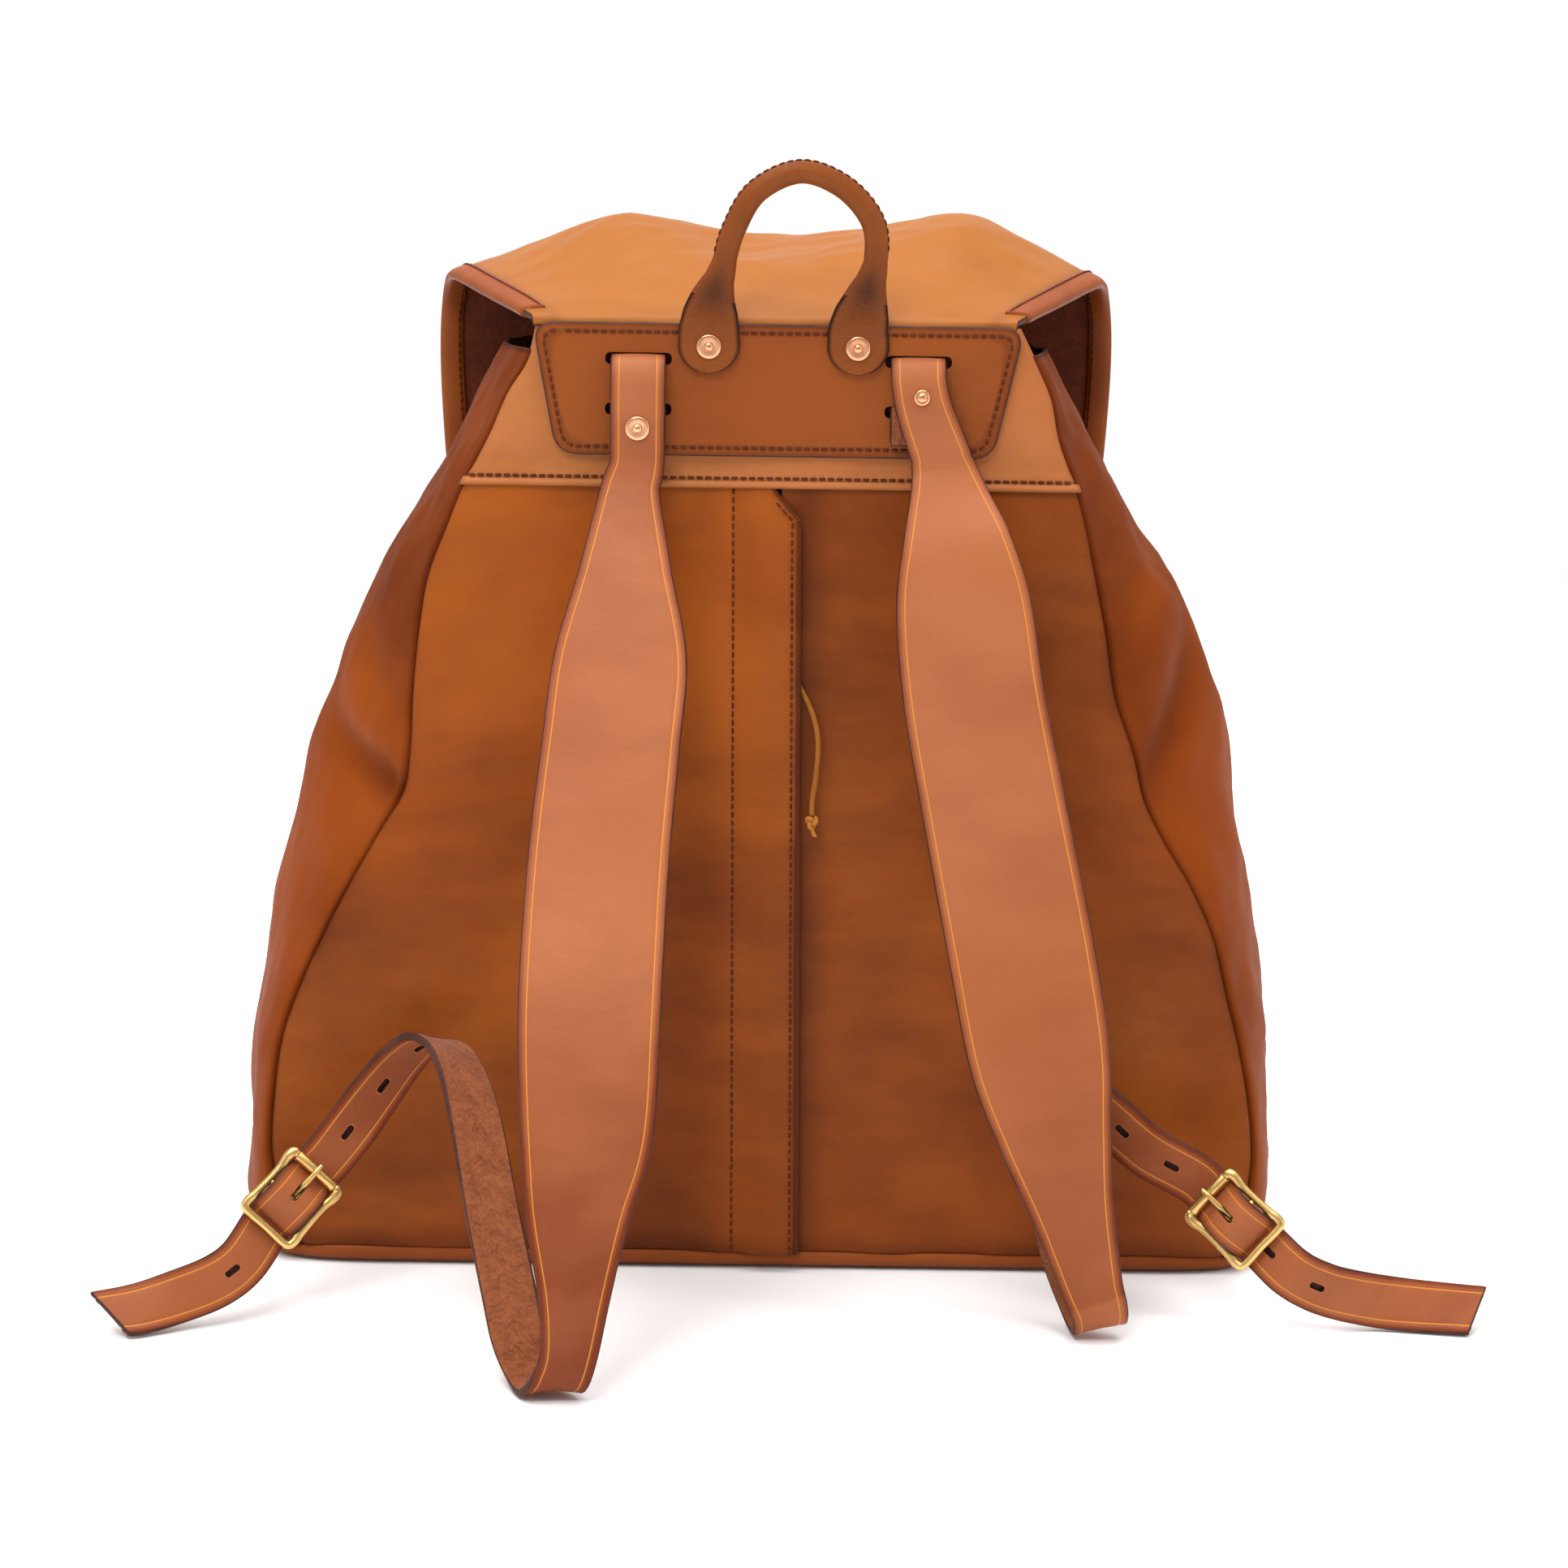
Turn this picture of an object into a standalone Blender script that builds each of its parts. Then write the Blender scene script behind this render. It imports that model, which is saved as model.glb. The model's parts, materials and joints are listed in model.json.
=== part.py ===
"""Leather rucksack, standing on its base with its back and shoulder straps facing -Y.

Metres, +Z up. The origin is the centre of the base's underside. Left and right are as seen from behind
the bag, so "left" is at -X.
"""

import math

import bmesh
import bpy
from mathutils import Vector

# ---------------------------------------------------------------- driving dimensions
MM = 0.001
GAP = 0.3 * MM                  # clearance between pieces that touch
BODY_LEATHER = 2.6 * MM
STRAP_LEATHER = 3.6 * MM
BACK_Y = -75 * MM               # outer face of the back
HINGE_Z = 418 * MM              # top edge of the back, where the lid folds
YOKE_Z = 349 * MM               # seam between the lower back and its yoke
WALL_Z = 7.5 * MM               # top of the base's turned-up edge
MOUTH_FRONT_Z = 396 * MM        # top edge of the front
MOUTH_DROP, MOUTH_FALL, MOUTH_RUN = 12 * MM, 10 * MM, 125 * MM   # the gussets' top edge, under the lid

# half widths and depths by height, each a smooth curve through (height, value)
BACK_HALF = [(0, 193), (8, 202), (45, 215), (105, 209), (160, 190), (212, 160), (260, 150), (312, 142),
             (349, 130), (372, 120), (418, 101)]
SIDE_HALF = [(0, 218), (8, 227), (37, 231), (100, 227.5), (150, 220), (200, 209.5), (247, 196.5), (280, 185.5),
             (320, 163), (349, 145), (377, 130), (404, 115), (418, 108)]
FRONT_HALF = [(0, 193), (8, 202), (45, 214), (105, 208), (160, 193), (212, 173), (260, 157), (312, 142),
              (349, 130), (404, 108), (418, 103)]
DEPTH = [(0, 143), (8, 147), (60, 156), (160, 160), (260, 155), (330, 145), (404, 127), (418, 124)]
SIDE_FULLNESS = [(0, 0.35), (60, 0.45), (200, 0.75), (418, 0.85)]

ZIP_SLOT_HALF = 7 * MM
ZIP_BOTTOM, ZIP_TOP = 14 * MM, 344 * MM
SLIDER_Z = 294 * MM

PATCH_TOP, PATCH_BOTTOM = 417.6 * MM, 363 * MM
# corners of the patch that takes the straps, as (x, z)
PATCH_CORNERS = [(-101 * MM, PATCH_TOP), (-91 * MM, PATCH_BOTTOM), (92 * MM, PATCH_BOTTOM), (104 * MM, PATCH_TOP)]
PATCH_FRONT = -(GAP + BODY_LEATHER)          # all layer depths below are from the outer face of the back
SLOT_WIDTH, SLOT_HEIGHT = 28 * MM, 6 * MM
SLOT_HIGH, SLOT_LOW = 404 * MM, 382.5 * MM
STRAP_X = {"left": -57 * MM, "right": 60.5 * MM}
STRAP_RIVET_Z = {"left": 375 * MM, "right": 389.5 * MM}
STRAP_END_WIDTH = 22 * MM
STRAP_SPLIT_Z = 366 * MM

HANDLE_X = {"left": -27.5 * MM, "right": 35 * MM}
HANDLE_RIVET_Z = 409 * MM
HANDLE_FOLD_Z = 419 * MM
HANDLE_DEPTH = -6.2 * MM
HANDLE_FOLD_DEPTH = -7.8 * MM
GRIP_RADIUS, CORE_RADIUS = 4.9 * MM, 2.5 * MM
TAB_THICKNESS, TAB_HALF, TAB_CORNER = 2.2 * MM, 12 * MM, 9 * MM
# x and z in millimetres of the rolled grip's centre line; it leans a little to the right
GRIP_ROUTE = [(-27.5, 419), (-26, 429), (-22, 442), (-17.5, 458), (-8, 474), (10, 482.3), (28, 476), (40, 462),
              (41.5, 446), (38, 431), (35, 419)]

BURR_RADIUS, RIVET_RADIUS = 5.1 * MM, 1.4 * MM

BUCKLE_LENGTH, BUCKLE_WIDTH, BAR = 34.5 * MM, 29 * MM, 1.6 * MM
HOLE_LENGTH, HOLE_WIDTH = 7 * MM, 2.8 * MM
CUTTER_LENGTH = 14 * MM         # longer than any strap is thick

X, Y, Z = Vector((1, 0, 0)), Vector((0, 1, 0)), Vector((0, 0, 1))


# ---------------------------------------------------------------- materials
def material(name, colour, roughness, metallic=0.0):
    made = bpy.data.materials.new(name)
    made.use_nodes = True
    made.diffuse_color = (*colour, 1)
    shader = made.node_tree.nodes["Principled BSDF"]
    shader.inputs["Base Color"].default_value = (*colour, 1)
    shader.inputs["Roughness"].default_value = roughness
    shader.inputs["Metallic"].default_value = metallic
    return made


# ---------------------------------------------------------------- small helpers
def value_at(points, x):
    """Smooth (Catmull-Rom) curve through (x, y) points, clamped at its ends."""
    if x <= points[0][0]:
        return points[0][1]
    for i in range(len(points) - 1):
        (x0, y0), (x1, y1) = points[i], points[i + 1]
        if x <= x1:
            before = points[max(i - 1, 0)]
            after = points[min(i + 2, len(points) - 1)]
            m0 = (y1 - before[1]) / (x1 - before[0])
            m1 = (after[1] - y0) / (after[0] - x0)
            t, h = (x - x0) / (x1 - x0), x1 - x0
            return ((2 * t**3 - 3 * t**2 + 1) * y0 + (t**3 - 2 * t**2 + t) * h * m0
                    + (3 * t**2 - 2 * t**3) * y1 + (t**3 - t**2) * h * m1)
    return points[-1][1]


def by_height(points, z):
    """A length read from a table in millimetres at height z."""
    return value_at(points, z / MM) * MM


def blend_points(points, count):
    """count points spaced evenly in length on a Catmull-Rom spline through lists of numbers."""
    dense = []
    for i in range(len(points) - 1):
        p0, p1 = points[max(i - 1, 0)], points[i]
        p2, p3 = points[i + 1], points[min(i + 2, len(points) - 1)]
        for k in range(12):
            t = k / 12
            dense.append([0.5 * (2 * b + (c - a) * t + (2 * a - 5 * b + 4 * c - d) * t**2
                                 + (3 * b - a - 3 * c + d) * t**3) for a, b, c, d in zip(p0, p1, p2, p3)])
    dense.append(list(points[-1]))
    lengths = [0.0]
    for a, b in zip(dense, dense[1:]):
        lengths.append(lengths[-1] + math.dist(a[:3], b[:3]))
    found, j = [], 0
    for k in range(count):
        wanted = lengths[-1] * k / (count - 1)
        while j < len(lengths) - 2 and lengths[j + 1] < wanted:
            j += 1
        t = (wanted - lengths[j]) / max(lengths[j + 1] - lengths[j], 1e-9)
        found.append([a + (b - a) * t for a, b in zip(dense[j], dense[j + 1])])
    return found


def add_object(name, verts, faces, look, origin=(0, 0, 0), smooth=False):
    """A mesh object given by world points, with its own origin placed at origin."""
    start = Vector(origin)
    mesh = bpy.data.meshes.new(name)
    mesh.from_pydata([Vector(v) - start for v in verts], [], faces)
    mesh.materials.append(look)
    edit = bmesh.new()
    edit.from_mesh(mesh)
    bmesh.ops.recalc_face_normals(edit, faces=edit.faces)
    edit.to_mesh(mesh)
    edit.free()
    if smooth:
        mesh.shade_smooth()
        mesh.set_sharp_from_angle(angle=math.radians(35))
    made = bpy.data.objects.new(name, mesh)
    made.location = start
    bpy.context.scene.collection.objects.link(made)
    return made


def sheet(name, front, back, look, origin=(0, 0, 0)):
    """A closed sheet between two grids of points of the same size, each a list of rows."""
    rows, columns = len(front), len(front[0])
    verts = [p for row in front for p in row] + [p for row in back for p in row]
    half = rows * columns
    faces = []
    for r in range(rows - 1):
        for c in range(columns - 1):
            a, b = r * columns + c, r * columns + c + 1
            d, e = a + columns, b + columns
            faces.append((a, b, e, d))
            faces.append((a + half, d + half, e + half, b + half))
    rim = [c for c in range(columns)]
    rim += [r * columns + columns - 1 for r in range(1, rows)]
    rim += [(rows - 1) * columns + c for c in range(columns - 2, -1, -1)]
    rim += [r * columns for r in range(rows - 2, 0, -1)]
    for a, b in zip(rim, rim[1:] + rim[:1]):
        faces.append((b, a, a + half, b + half))
    return add_object(name, verts, faces, look, origin, smooth=True)


def loft(name, sections, look, origin=(0, 0, 0), smooth=True):
    """A closed solid through rings of points, with flat caps on its two ends."""
    sides = len(sections[0])
    verts = [p for ring in sections for p in ring]
    faces = [tuple(range(sides)), tuple(len(verts) - sides + i for i in range(sides))]
    for r in range(len(sections) - 1):
        for i in range(sides):
            j = (i + 1) % sides
            faces.append((r * sides + i, r * sides + j, (r + 1) * sides + j, (r + 1) * sides + i))
    return add_object(name, verts, faces, look, origin, smooth)


def axes_for(direction):
    """Two unit vectors square to direction."""
    along = Vector(direction).normalized()
    other = Vector((0, 0, 1)) if abs(along.z) < 0.9 else Vector((1, 0, 0))
    first = along.cross(other).normalized()
    return first, along.cross(first).normalized()


def turned(name, start, direction, profile, look, sides=16, origin=None):
    """A turned solid: profile lists (distance along direction, radius) from one end to the other."""
    start, along = Vector(start), Vector(direction).normalized()
    first, second = axes_for(along)
    rings = []
    for distance, radius in profile:
        rings.append([start + along * distance + (first * math.cos(a) + second * math.sin(a)) * radius
                      for a in (2 * math.pi * k / sides for k in range(sides))])
    return loft(name, rings, look, origin or start)


def hollow_turned(name, centre, direction, length, inner, outer, look, sides=16):
    """A plain tube, centred, with its bore open at both ends."""
    centre, along = Vector(centre), Vector(direction).normalized()
    first, second = axes_for(along)
    corners = [(-length / 2, inner), (-length / 2, outer), (length / 2, outer), (length / 2, inner)]
    verts, faces = [], []
    for k in range(sides):
        a = 2 * math.pi * k / sides
        for distance, radius in corners:
            verts.append(centre + along * distance + (first * math.cos(a) + second * math.sin(a)) * radius)
    for k in range(sides):
        n = (k + 1) % sides
        for c in range(4):
            d = (c + 1) % 4
            faces.append((k * 4 + c, k * 4 + d, n * 4 + d, n * 4 + c))
    return add_object(name, verts, faces, look, centre, smooth=True)


def cut(target, cutter, solver="EXACT"):
    """Takes the cutter's shape out of the target."""
    cutter.hide_render = True
    cutter.display_type = "WIRE"
    modifier = target.modifiers.new("cut_" + cutter.name, "BOOLEAN")
    modifier.operation = "DIFFERENCE"
    modifier.solver = solver
    modifier.object = cutter


def join(target, other):
    """Adds the other shape to the target."""
    other.hide_render = True
    other.display_type = "WIRE"
    modifier = target.modifiers.new("join_" + other.name, "BOOLEAN")
    modifier.operation = "UNION"
    modifier.solver = "EXACT"
    modifier.object = other


def bore(name, start, direction, length, look):
    """A cutter for a rivet's hole."""
    radius = RIVET_RADIUS + GAP
    return turned(name, start, direction, [(0, radius), (length, radius)], look, sides=12)


def block(name, centre, sides, across, up, out, look):
    """A box with its three sides along the unit vectors across, up and out."""
    centre = Vector(centre)
    rings = []
    for k in (-0.5, 0.5):
        rings.append([centre + across * (sides[0] * a) + up * (sides[1] * b) + out * (sides[2] * k)
                      for a, b in ((-0.5, -0.5), (0.5, -0.5), (0.5, 0.5), (-0.5, 0.5))])
    return loft(name, rings, look, smooth=False)


def plate(name, outline, depth_front, depth_back, look, origin=(0, 0, 0)):
    """A flat piece on the back: outline in (x, z), depths measured from the back's outer face."""
    rings = [[Vector((x, BACK_Y + d, z)) for x, z in outline] for d in (depth_front, depth_back)]
    return loft(name, rings, look, origin, smooth=False)


# ---------------------------------------------------------------- body
# places in the outline: the middle of the back, its seam, the front seam and the middle of the front
BACK_MIDDLE, BACK_SEAM, FRONT_SEAM, FRONT_MIDDLE = 0, 5, 15, 20


def outline_at(z):
    """The bag's outline at height z, as [(x, y)] from the zip round by +X to the middle of the front."""
    back, side, front = (by_height(t, z) for t in (BACK_HALF, SIDE_HALF, FRONT_HALF))
    depth, power = by_height(DEPTH, z), value_at(SIDE_FULLNESS, z / MM)
    points = [(ZIP_SLOT_HALF + (back - ZIP_SLOT_HALF) * k / 5, BACK_Y) for k in range(6)]
    for k in range(1, 10):
        s = k / 10
        straight = back + (front - back) * s
        bulge = (side - (back + front) / 2) * math.sin(math.pi * s) ** power
        points.append((straight + bulge, BACK_Y + depth * s))
    return points + [(front * (1 - k / 5), BACK_Y + depth) for k in range(6)]


def inset(points, distance):
    """The outline moved inwards by distance, with mitred corners; its two ends move straight in."""
    moved = []
    for i, (x, y) in enumerate(points):
        normals = []
        for a, b in ((i - 1, i), (i, i + 1)):
            if 0 <= a and b < len(points):
                dx, dy = points[b][0] - points[a][0], points[b][1] - points[a][1]
                length = math.hypot(dx, dy)
                normals.append((-dy / length, dx / length))
        nx, ny = sum(n[0] for n in normals), sum(n[1] for n in normals)
        scale = len(normals) * distance / (nx * nx + ny * ny)
        moved.append((x + nx * scale, y + ny * scale))
    return moved


def trimmed(row, start, end):
    """Part of a row of points, pulled back by half a gap at each end."""
    piece = [Vector(p) for p in row[start:end + 1]]
    piece[0] += (piece[1] - piece[0]).normalized() * (GAP / 2)
    piece[-1] += (piece[-2] - piece[-1]).normalized() * (GAP / 2)
    return piece


def wall(name, heights, start, end, side, look, top=None):
    """One leather wall between two places on the outline, on the +X side (side 1) or the -X side (-1).
    top gives the height of its upper edge as a function of y, in place of the last of the heights."""
    front, back = [], []
    for z in heights:
        shaped = top and z == heights[-1]
        row_heights = [top(y) if shaped else z for _, y in outline_at(z)]
        for grid, distance in ((front, 0), (back, BODY_LEATHER)):
            row = [inset(outline_at(height), distance)[i] for i, height in enumerate(row_heights)]
            row = [(side * x, y, height) for (x, y), height in zip(row, row_heights)]
            grid.append(trimmed(row, start, end))
    return sheet(name, front, back, look)


def mirrored_part(points, start, end):
    """Part of the +X half of the outline, run on into its mirror image."""
    part = points[start:end + 1]
    if start == BACK_MIDDLE:
        part = part[::-1]
    return part + [(-x, y) for x, y in reversed(part) if x]


def middle_wall(name, heights, start, end, look):
    """One leather wall that runs across the middle of the bag."""
    front, back = [], []
    for z in heights:
        for grid, distance in ((front, 0), (back, BODY_LEATHER)):
            row = [(x, y, z) for x, y in mirrored_part(inset(outline_at(z), distance), start, end)]
            grid.append(trimmed(row, 0, len(row) - 1))
    return sheet(name, front, back, look)


def levels(low, high, count):
    return [low + (high - low) * k / count for k in range(count + 1)]


def mouth_height(y):
    """The height of the gussets' top edge, which falls a little from the back to the front."""
    return HINGE_Z - MOUTH_DROP - MOUTH_FALL * (y - BACK_Y) / MOUTH_RUN


def build_base(look):
    """A shallow tray whose edge turns up under the walls."""
    rings = []
    for z, outline_z, shrink in ((0, 0, 0), (WALL_Z - GAP, WALL_Z, 0), (WALL_Z - GAP, WALL_Z, BODY_LEATHER),
                                 (BODY_LEATHER, 0, BODY_LEATHER * 1.4)):
        half = [(x, y, z) for x, y in inset(outline_at(outline_z), shrink)[1:]]
        rings.append(half + [(-x, y, level) for x, y, level in reversed(half[:-1])])
    return loft("base_panel", rings, look)


def build_body(leather, edge):
    """The walls and the base. Returns the two walls that later pieces cut holes in."""
    lower = [WALL_Z, 22 * MM, 40 * MM] + levels(65 * MM, YOKE_Z - GAP, 12)
    upper = levels(YOKE_Z + 18 * MM, 405 * MM, 2)
    for side, word in ((1, "right"), (-1, "left")):
        wall("back_panel_" + word, lower, BACK_MIDDLE, BACK_SEAM, side, leather)
        wall("gusset_" + word, lower + upper, BACK_SEAM, FRONT_SEAM, side, leather, top=mouth_height)
    build_base(edge)
    yoke_heights = levels(YOKE_Z + GAP, HINGE_Z - 0.6 * MM, 4)
    yoke = middle_wall("back_yoke", yoke_heights, BACK_MIDDLE, BACK_SEAM, leather)
    front_heights = lower + levels(YOKE_Z + 14 * MM, MOUTH_FRONT_Z, 2)
    return yoke, middle_wall("front_panel", front_heights, FRONT_SEAM, FRONT_MIDDLE, leather)


# ---------------------------------------------------------------- back zip
# x, depth and height in millimetres: out of the slider, round the free edge of the flap and down to the knot
LACE_ROUTE = [(0, -2.35, 291), (3.5, -2.3, 281), (9, -1.9, 269), (14.5, -1.9, 260), (18.6, -3.4, 251),
              (20.6, -6.0, 243), (21, -6.6, 234), (20.7, -5.6, 224), (20.4, -5, 215), (20.4, -5.0, 208)]
LACE_RADIUS = 1.0 * MM
# along the knot and its radius, in millimetres, ending in the stub of the lace
KNOT = [(0, 1.4), (1.2, 2.7), (3.6, 3.0), (6, 2.4), (9, 1.5)]


def build_zip(tape_look, metal, lace_look):
    tape_depth, tape_thickness = BODY_LEATHER + GAP, 0.9 * MM
    tape_near, tape_far, teeth_half = 2.7 * MM, 15 * MM, 2.3 * MM
    for side, word in ((-1, "left"), (1, "right")):
        near, far = side * tape_near, side * tape_far
        outline = [(near, ZIP_BOTTOM), (far, ZIP_BOTTOM), (far, ZIP_TOP), (near, ZIP_TOP)]
        plate("zip_tape_" + word, outline, tape_depth, tape_depth + tape_thickness, tape_look)
    outline = [(-teeth_half, ZIP_BOTTOM), (teeth_half, ZIP_BOTTOM),
               (teeth_half, ZIP_TOP), (-teeth_half, ZIP_TOP)]
    plate("zip_teeth", outline, 1.9 * MM, 4.1 * MM, metal)
    wide, tall = 4.4 * MM, 6 * MM
    outline = [(-wide * 0.6, SLIDER_Z - tall), (wide * 0.6, SLIDER_Z - tall), (wide, SLIDER_Z),
               (wide * 0.8, SLIDER_Z + tall), (-wide * 0.8, SLIDER_Z + tall), (-wide, SLIDER_Z)]
    plate("zip_slider", outline, -1.0 * MM, 1.5 * MM, metal, (0, BACK_Y, SLIDER_Z))
    build_lace(lace_look)


def build_lace(look):
    """The slider's pull: a thin lace ending in a knot."""
    curve = bpy.data.curves.new("zip_lace", "CURVE")
    curve.dimensions = "3D"
    curve.bevel_depth = LACE_RADIUS
    curve.bevel_resolution = 2
    curve.use_fill_caps = True
    curve.resolution_u = 1
    points = [Vector((x * MM, BACK_Y + depth * MM, z * MM)) for x, depth, z in blend_points(LACE_ROUTE, 24)]
    spline = curve.splines.new("POLY")
    spline.points.add(len(points) - 1)
    for target, point in zip(spline.points, points):
        target.co = (*point, 1)
    curve.materials.append(look)
    lace = bpy.data.objects.new("zip_lace", curve)
    bpy.context.scene.collection.objects.link(lace)
    profile = [(distance * MM, radius * MM) for distance, radius in KNOT]
    turned("zip_lace_knot", points[-1] - Z * GAP, (0, -0.1, -1), profile, look, sides=10)


def build_flap(leather):
    """The fly that covers the zip: fixed along the stitch line at its left, free at its right edge."""
    outline = [(-15.5, 347.5), (-12, 9.5), (17, 9.5), (12, 336), (1, 347.5)]
    front, back = -5.6 * MM, -3.6 * MM
    plate("zip_flap", [(x * MM, z * MM) for x, z in outline], front, back, leather,
          (-14 * MM, BACK_Y + front - 0.1 * MM, YOKE_Z / 2))


# ---------------------------------------------------------------- patch, handle and their rivets
def rounded(corners, radius, steps=3):
    """The corners of an outline replaced by short arcs."""
    found = []
    for i, corner in enumerate(corners):
        here = Vector(corner)
        before, after = Vector(corners[i - 1]), Vector(corners[(i + 1) % len(corners)])
        start = here + (before - here).normalized() * radius
        end = here + (after - here).normalized() * radius
        for k in range(steps + 1):
            t = k / steps
            found.append(tuple(start * (1 - t) ** 2 + here * 2 * t * (1 - t) + end * t**2))
    return found


def rivet_and_burr(name, x, z, outer_depth, inner_depth, metal, holed, burr_radius=BURR_RADIUS):
    """A copper rivet set from inside the bag, its peened end over a burr on the outside."""
    length = inner_depth - outer_depth
    head, head_thickness, burr_thickness = 4.4 * MM, 1.2 * MM, 1.0 * MM
    start = Vector((x, BACK_Y + inner_depth + GAP, z))
    top = length + 2 * GAP
    turned(name + "_rivet", start + Y * head_thickness, -Y,
           [(0, head * 0.8), (0.5 * MM, head), (head_thickness, head), (head_thickness, RIVET_RADIUS),
            (top + 2.6 * MM, RIVET_RADIUS), (top + 2.6 * MM, 2.0 * MM), (top + 3.4 * MM, 1.9 * MM),
            (top + 4.1 * MM, 0.9 * MM)], metal, sides=14)
    middle = Vector((x, BACK_Y + outer_depth - GAP - burr_thickness / 2, z))
    hollow_turned(name + "_burr", middle, Y, burr_thickness, RIVET_RADIUS + GAP / 2, burr_radius, metal,
                  sides=20)
    for target in holed:
        cut(target, bore(f"{name}_hole_{target.name}", start + Y * 6 * MM, -Y, length + CUTTER_LENGTH, metal),
            "MANIFOLD")


def build_patch(leather):
    return plate("strap_patch", rounded(PATCH_CORNERS, 9 * MM), PATCH_FRONT, -GAP, leather)


def cut_slots(targets):
    """Each strap's pair of slots, through the patch and the yoke behind it."""
    half_width, half_height = SLOT_WIDTH / 2, SLOT_HEIGHT / 2
    for word, x in STRAP_X.items():
        for level, z in (("high", SLOT_HIGH), ("low", SLOT_LOW)):
            corners = [(x - half_width, z - half_height), (x + half_width, z - half_height),
                       (x + half_width, z + half_height), (x - half_width, z + half_height)]
            for target in targets:
                cutter = plate(f"slot_{word}_{level}_{target.name}", rounded(corners, 2.4 * MM),
                               -9 * MM, 9 * MM, target.data.materials[0])
                cut(target, cutter, "MANIFOLD")


def build_handle_tabs(leather, metal, patch, yoke):
    tab_back = PATCH_FRONT - GAP
    tab_front = tab_back - TAB_THICKNESS
    top, low = HANDLE_FOLD_Z - GAP, HANDLE_RIVET_Z - 11 * MM
    for word, x in HANDLE_X.items():
        corners = [(x - TAB_HALF * 0.9, top), (x - TAB_HALF, low),
                   (x + TAB_HALF, low), (x + TAB_HALF * 0.9, top)]
        tab = plate("handle_tab_" + word, rounded(corners, TAB_CORNER), tab_front, tab_back, leather)
        rivet_and_burr("handle_" + word, x, HANDLE_RIVET_Z, tab_front, BODY_LEATHER, metal,
                       [tab, patch, yoke])


def ellipse(centre, across, wide, up, tall, sides):
    return [centre + across * (wide * math.cos(a)) + up * (tall * math.sin(a))
            for a in (2 * math.pi * k / sides for k in range(sides))]


def build_grip(leather, core_look):
    """The rolled grip, open at its flattened ends, and the cord core inside it."""
    route = [(x * MM, BACK_Y + HANDLE_DEPTH, z * MM) for x, z in GRIP_ROUTE]
    points = [Vector(p) for p in blend_points(route, 29)]
    sides, last, rows_to_round = 12, len(points) - 1, 5
    end_wide, end_thick, skin = 9.8 * MM, 2.2 * MM, 2.1 * MM
    rings, bores, cores = [], [], []
    for i, point in enumerate(points):
        along = (points[min(i + 1, last)] - points[max(i - 1, 0)]).normalized()
        if i in (0, last):
            along = Z if i == 0 else -Z
        across = along.cross(Y).normalized()
        roundness = min(i, last - i) / rows_to_round
        flat = 1 - min(roundness, 1) ** 1.5
        wide = GRIP_RADIUS + (end_wide - GRIP_RADIUS) * flat
        thick = GRIP_RADIUS + (end_thick - GRIP_RADIUS) * flat
        centre = point + Y * (0.9 * MM * flat)
        rings.append(ellipse(centre, across, wide, Y, thick, sides))
        bores.append(ellipse(centre, across, wide - skin, Y, thick - skin + 1.2 * MM * flat, sides))
        if roundness >= 1:
            cores.append(ellipse(point, across, CORE_RADIUS, Y, CORE_RADIUS, 8))
    # the outer skin and its bore are joined by a ring of faces at each end
    verts = [p for ring in rings + bores for p in ring]
    half, faces = len(rings) * sides, []
    for i in range(sides):
        j = (i + 1) % sides
        for r in range(last):
            a, b, c, d = r * sides + i, r * sides + j, (r + 1) * sides + j, (r + 1) * sides + i
            faces += [(a, b, c, d), (d + half, c + half, b + half, a + half)]
        faces.append((j, i, i + half, j + half))
        a, b = last * sides + i, last * sides + j
        faces.append((a, b, b + half, a + half))
    pivot = (0, BACK_Y + HANDLE_FOLD_DEPTH, HANDLE_FOLD_Z - GAP / 2)
    add_object("handle_grip", verts, faces, leather, pivot, smooth=True)
    loft("handle_core", cores, core_look, pivot)


# ---------------------------------------------------------------- straps
def strap_frames(stations, count):
    """Evenly spaced (centre, side, normal, width) along a strap. Each station is x, y, z, width and the side
    vector's three parts; positions and widths are in millimetres."""
    frames = []
    rows = blend_points(stations, count)
    centres = [Vector(r[:3]) * MM for r in rows]
    for i, row in enumerate(rows):
        along = (centres[min(i + 1, count - 1)] - centres[max(i - 1, 0)]).normalized()
        side = Vector(row[4:7])
        side = (side - along * side.dot(along)).normalized()
        frames.append((centres[i], side, along.cross(side).normalized(), row[3] * MM))
    return frames


def strap(name, frames, look, thickness=STRAP_LEATHER, origin=None):
    rings = []
    for centre, side, normal, width in frames:
        half, thick = side * (width / 2), normal * (thickness / 2)
        rings.append([centre - half - thick, centre + half - thick,
                      centre + half + thick, centre - half + thick])
    return loft(name, rings, look, origin or frames[0][0], smooth=True)


def length_of(frames):
    return sum((after[0] - before[0]).length for before, after in zip(frames, frames[1:]))


def punch(target, frames, distances):
    """Oblong holes through a strap at distances from its first frame."""
    travelled, index = 0.0, 0
    for number, distance in enumerate(distances):
        while travelled < distance:
            step = (frames[index + 1][0] - frames[index][0]).length
            travelled += step
            index += 1
        centre, side, normal, _ = frames[index]
        along = side.cross(normal)
        centre = centre.lerp(frames[index - 1][0], (travelled - distance) / step)
        cutter = block(f"{target.name}_hole_{number}", centre, (HOLE_WIDTH, HOLE_LENGTH, CUTTER_LENGTH),
                       side, along, normal, target.data.materials[0])
        cut(target, cutter, "MANIFOLD")


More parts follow.
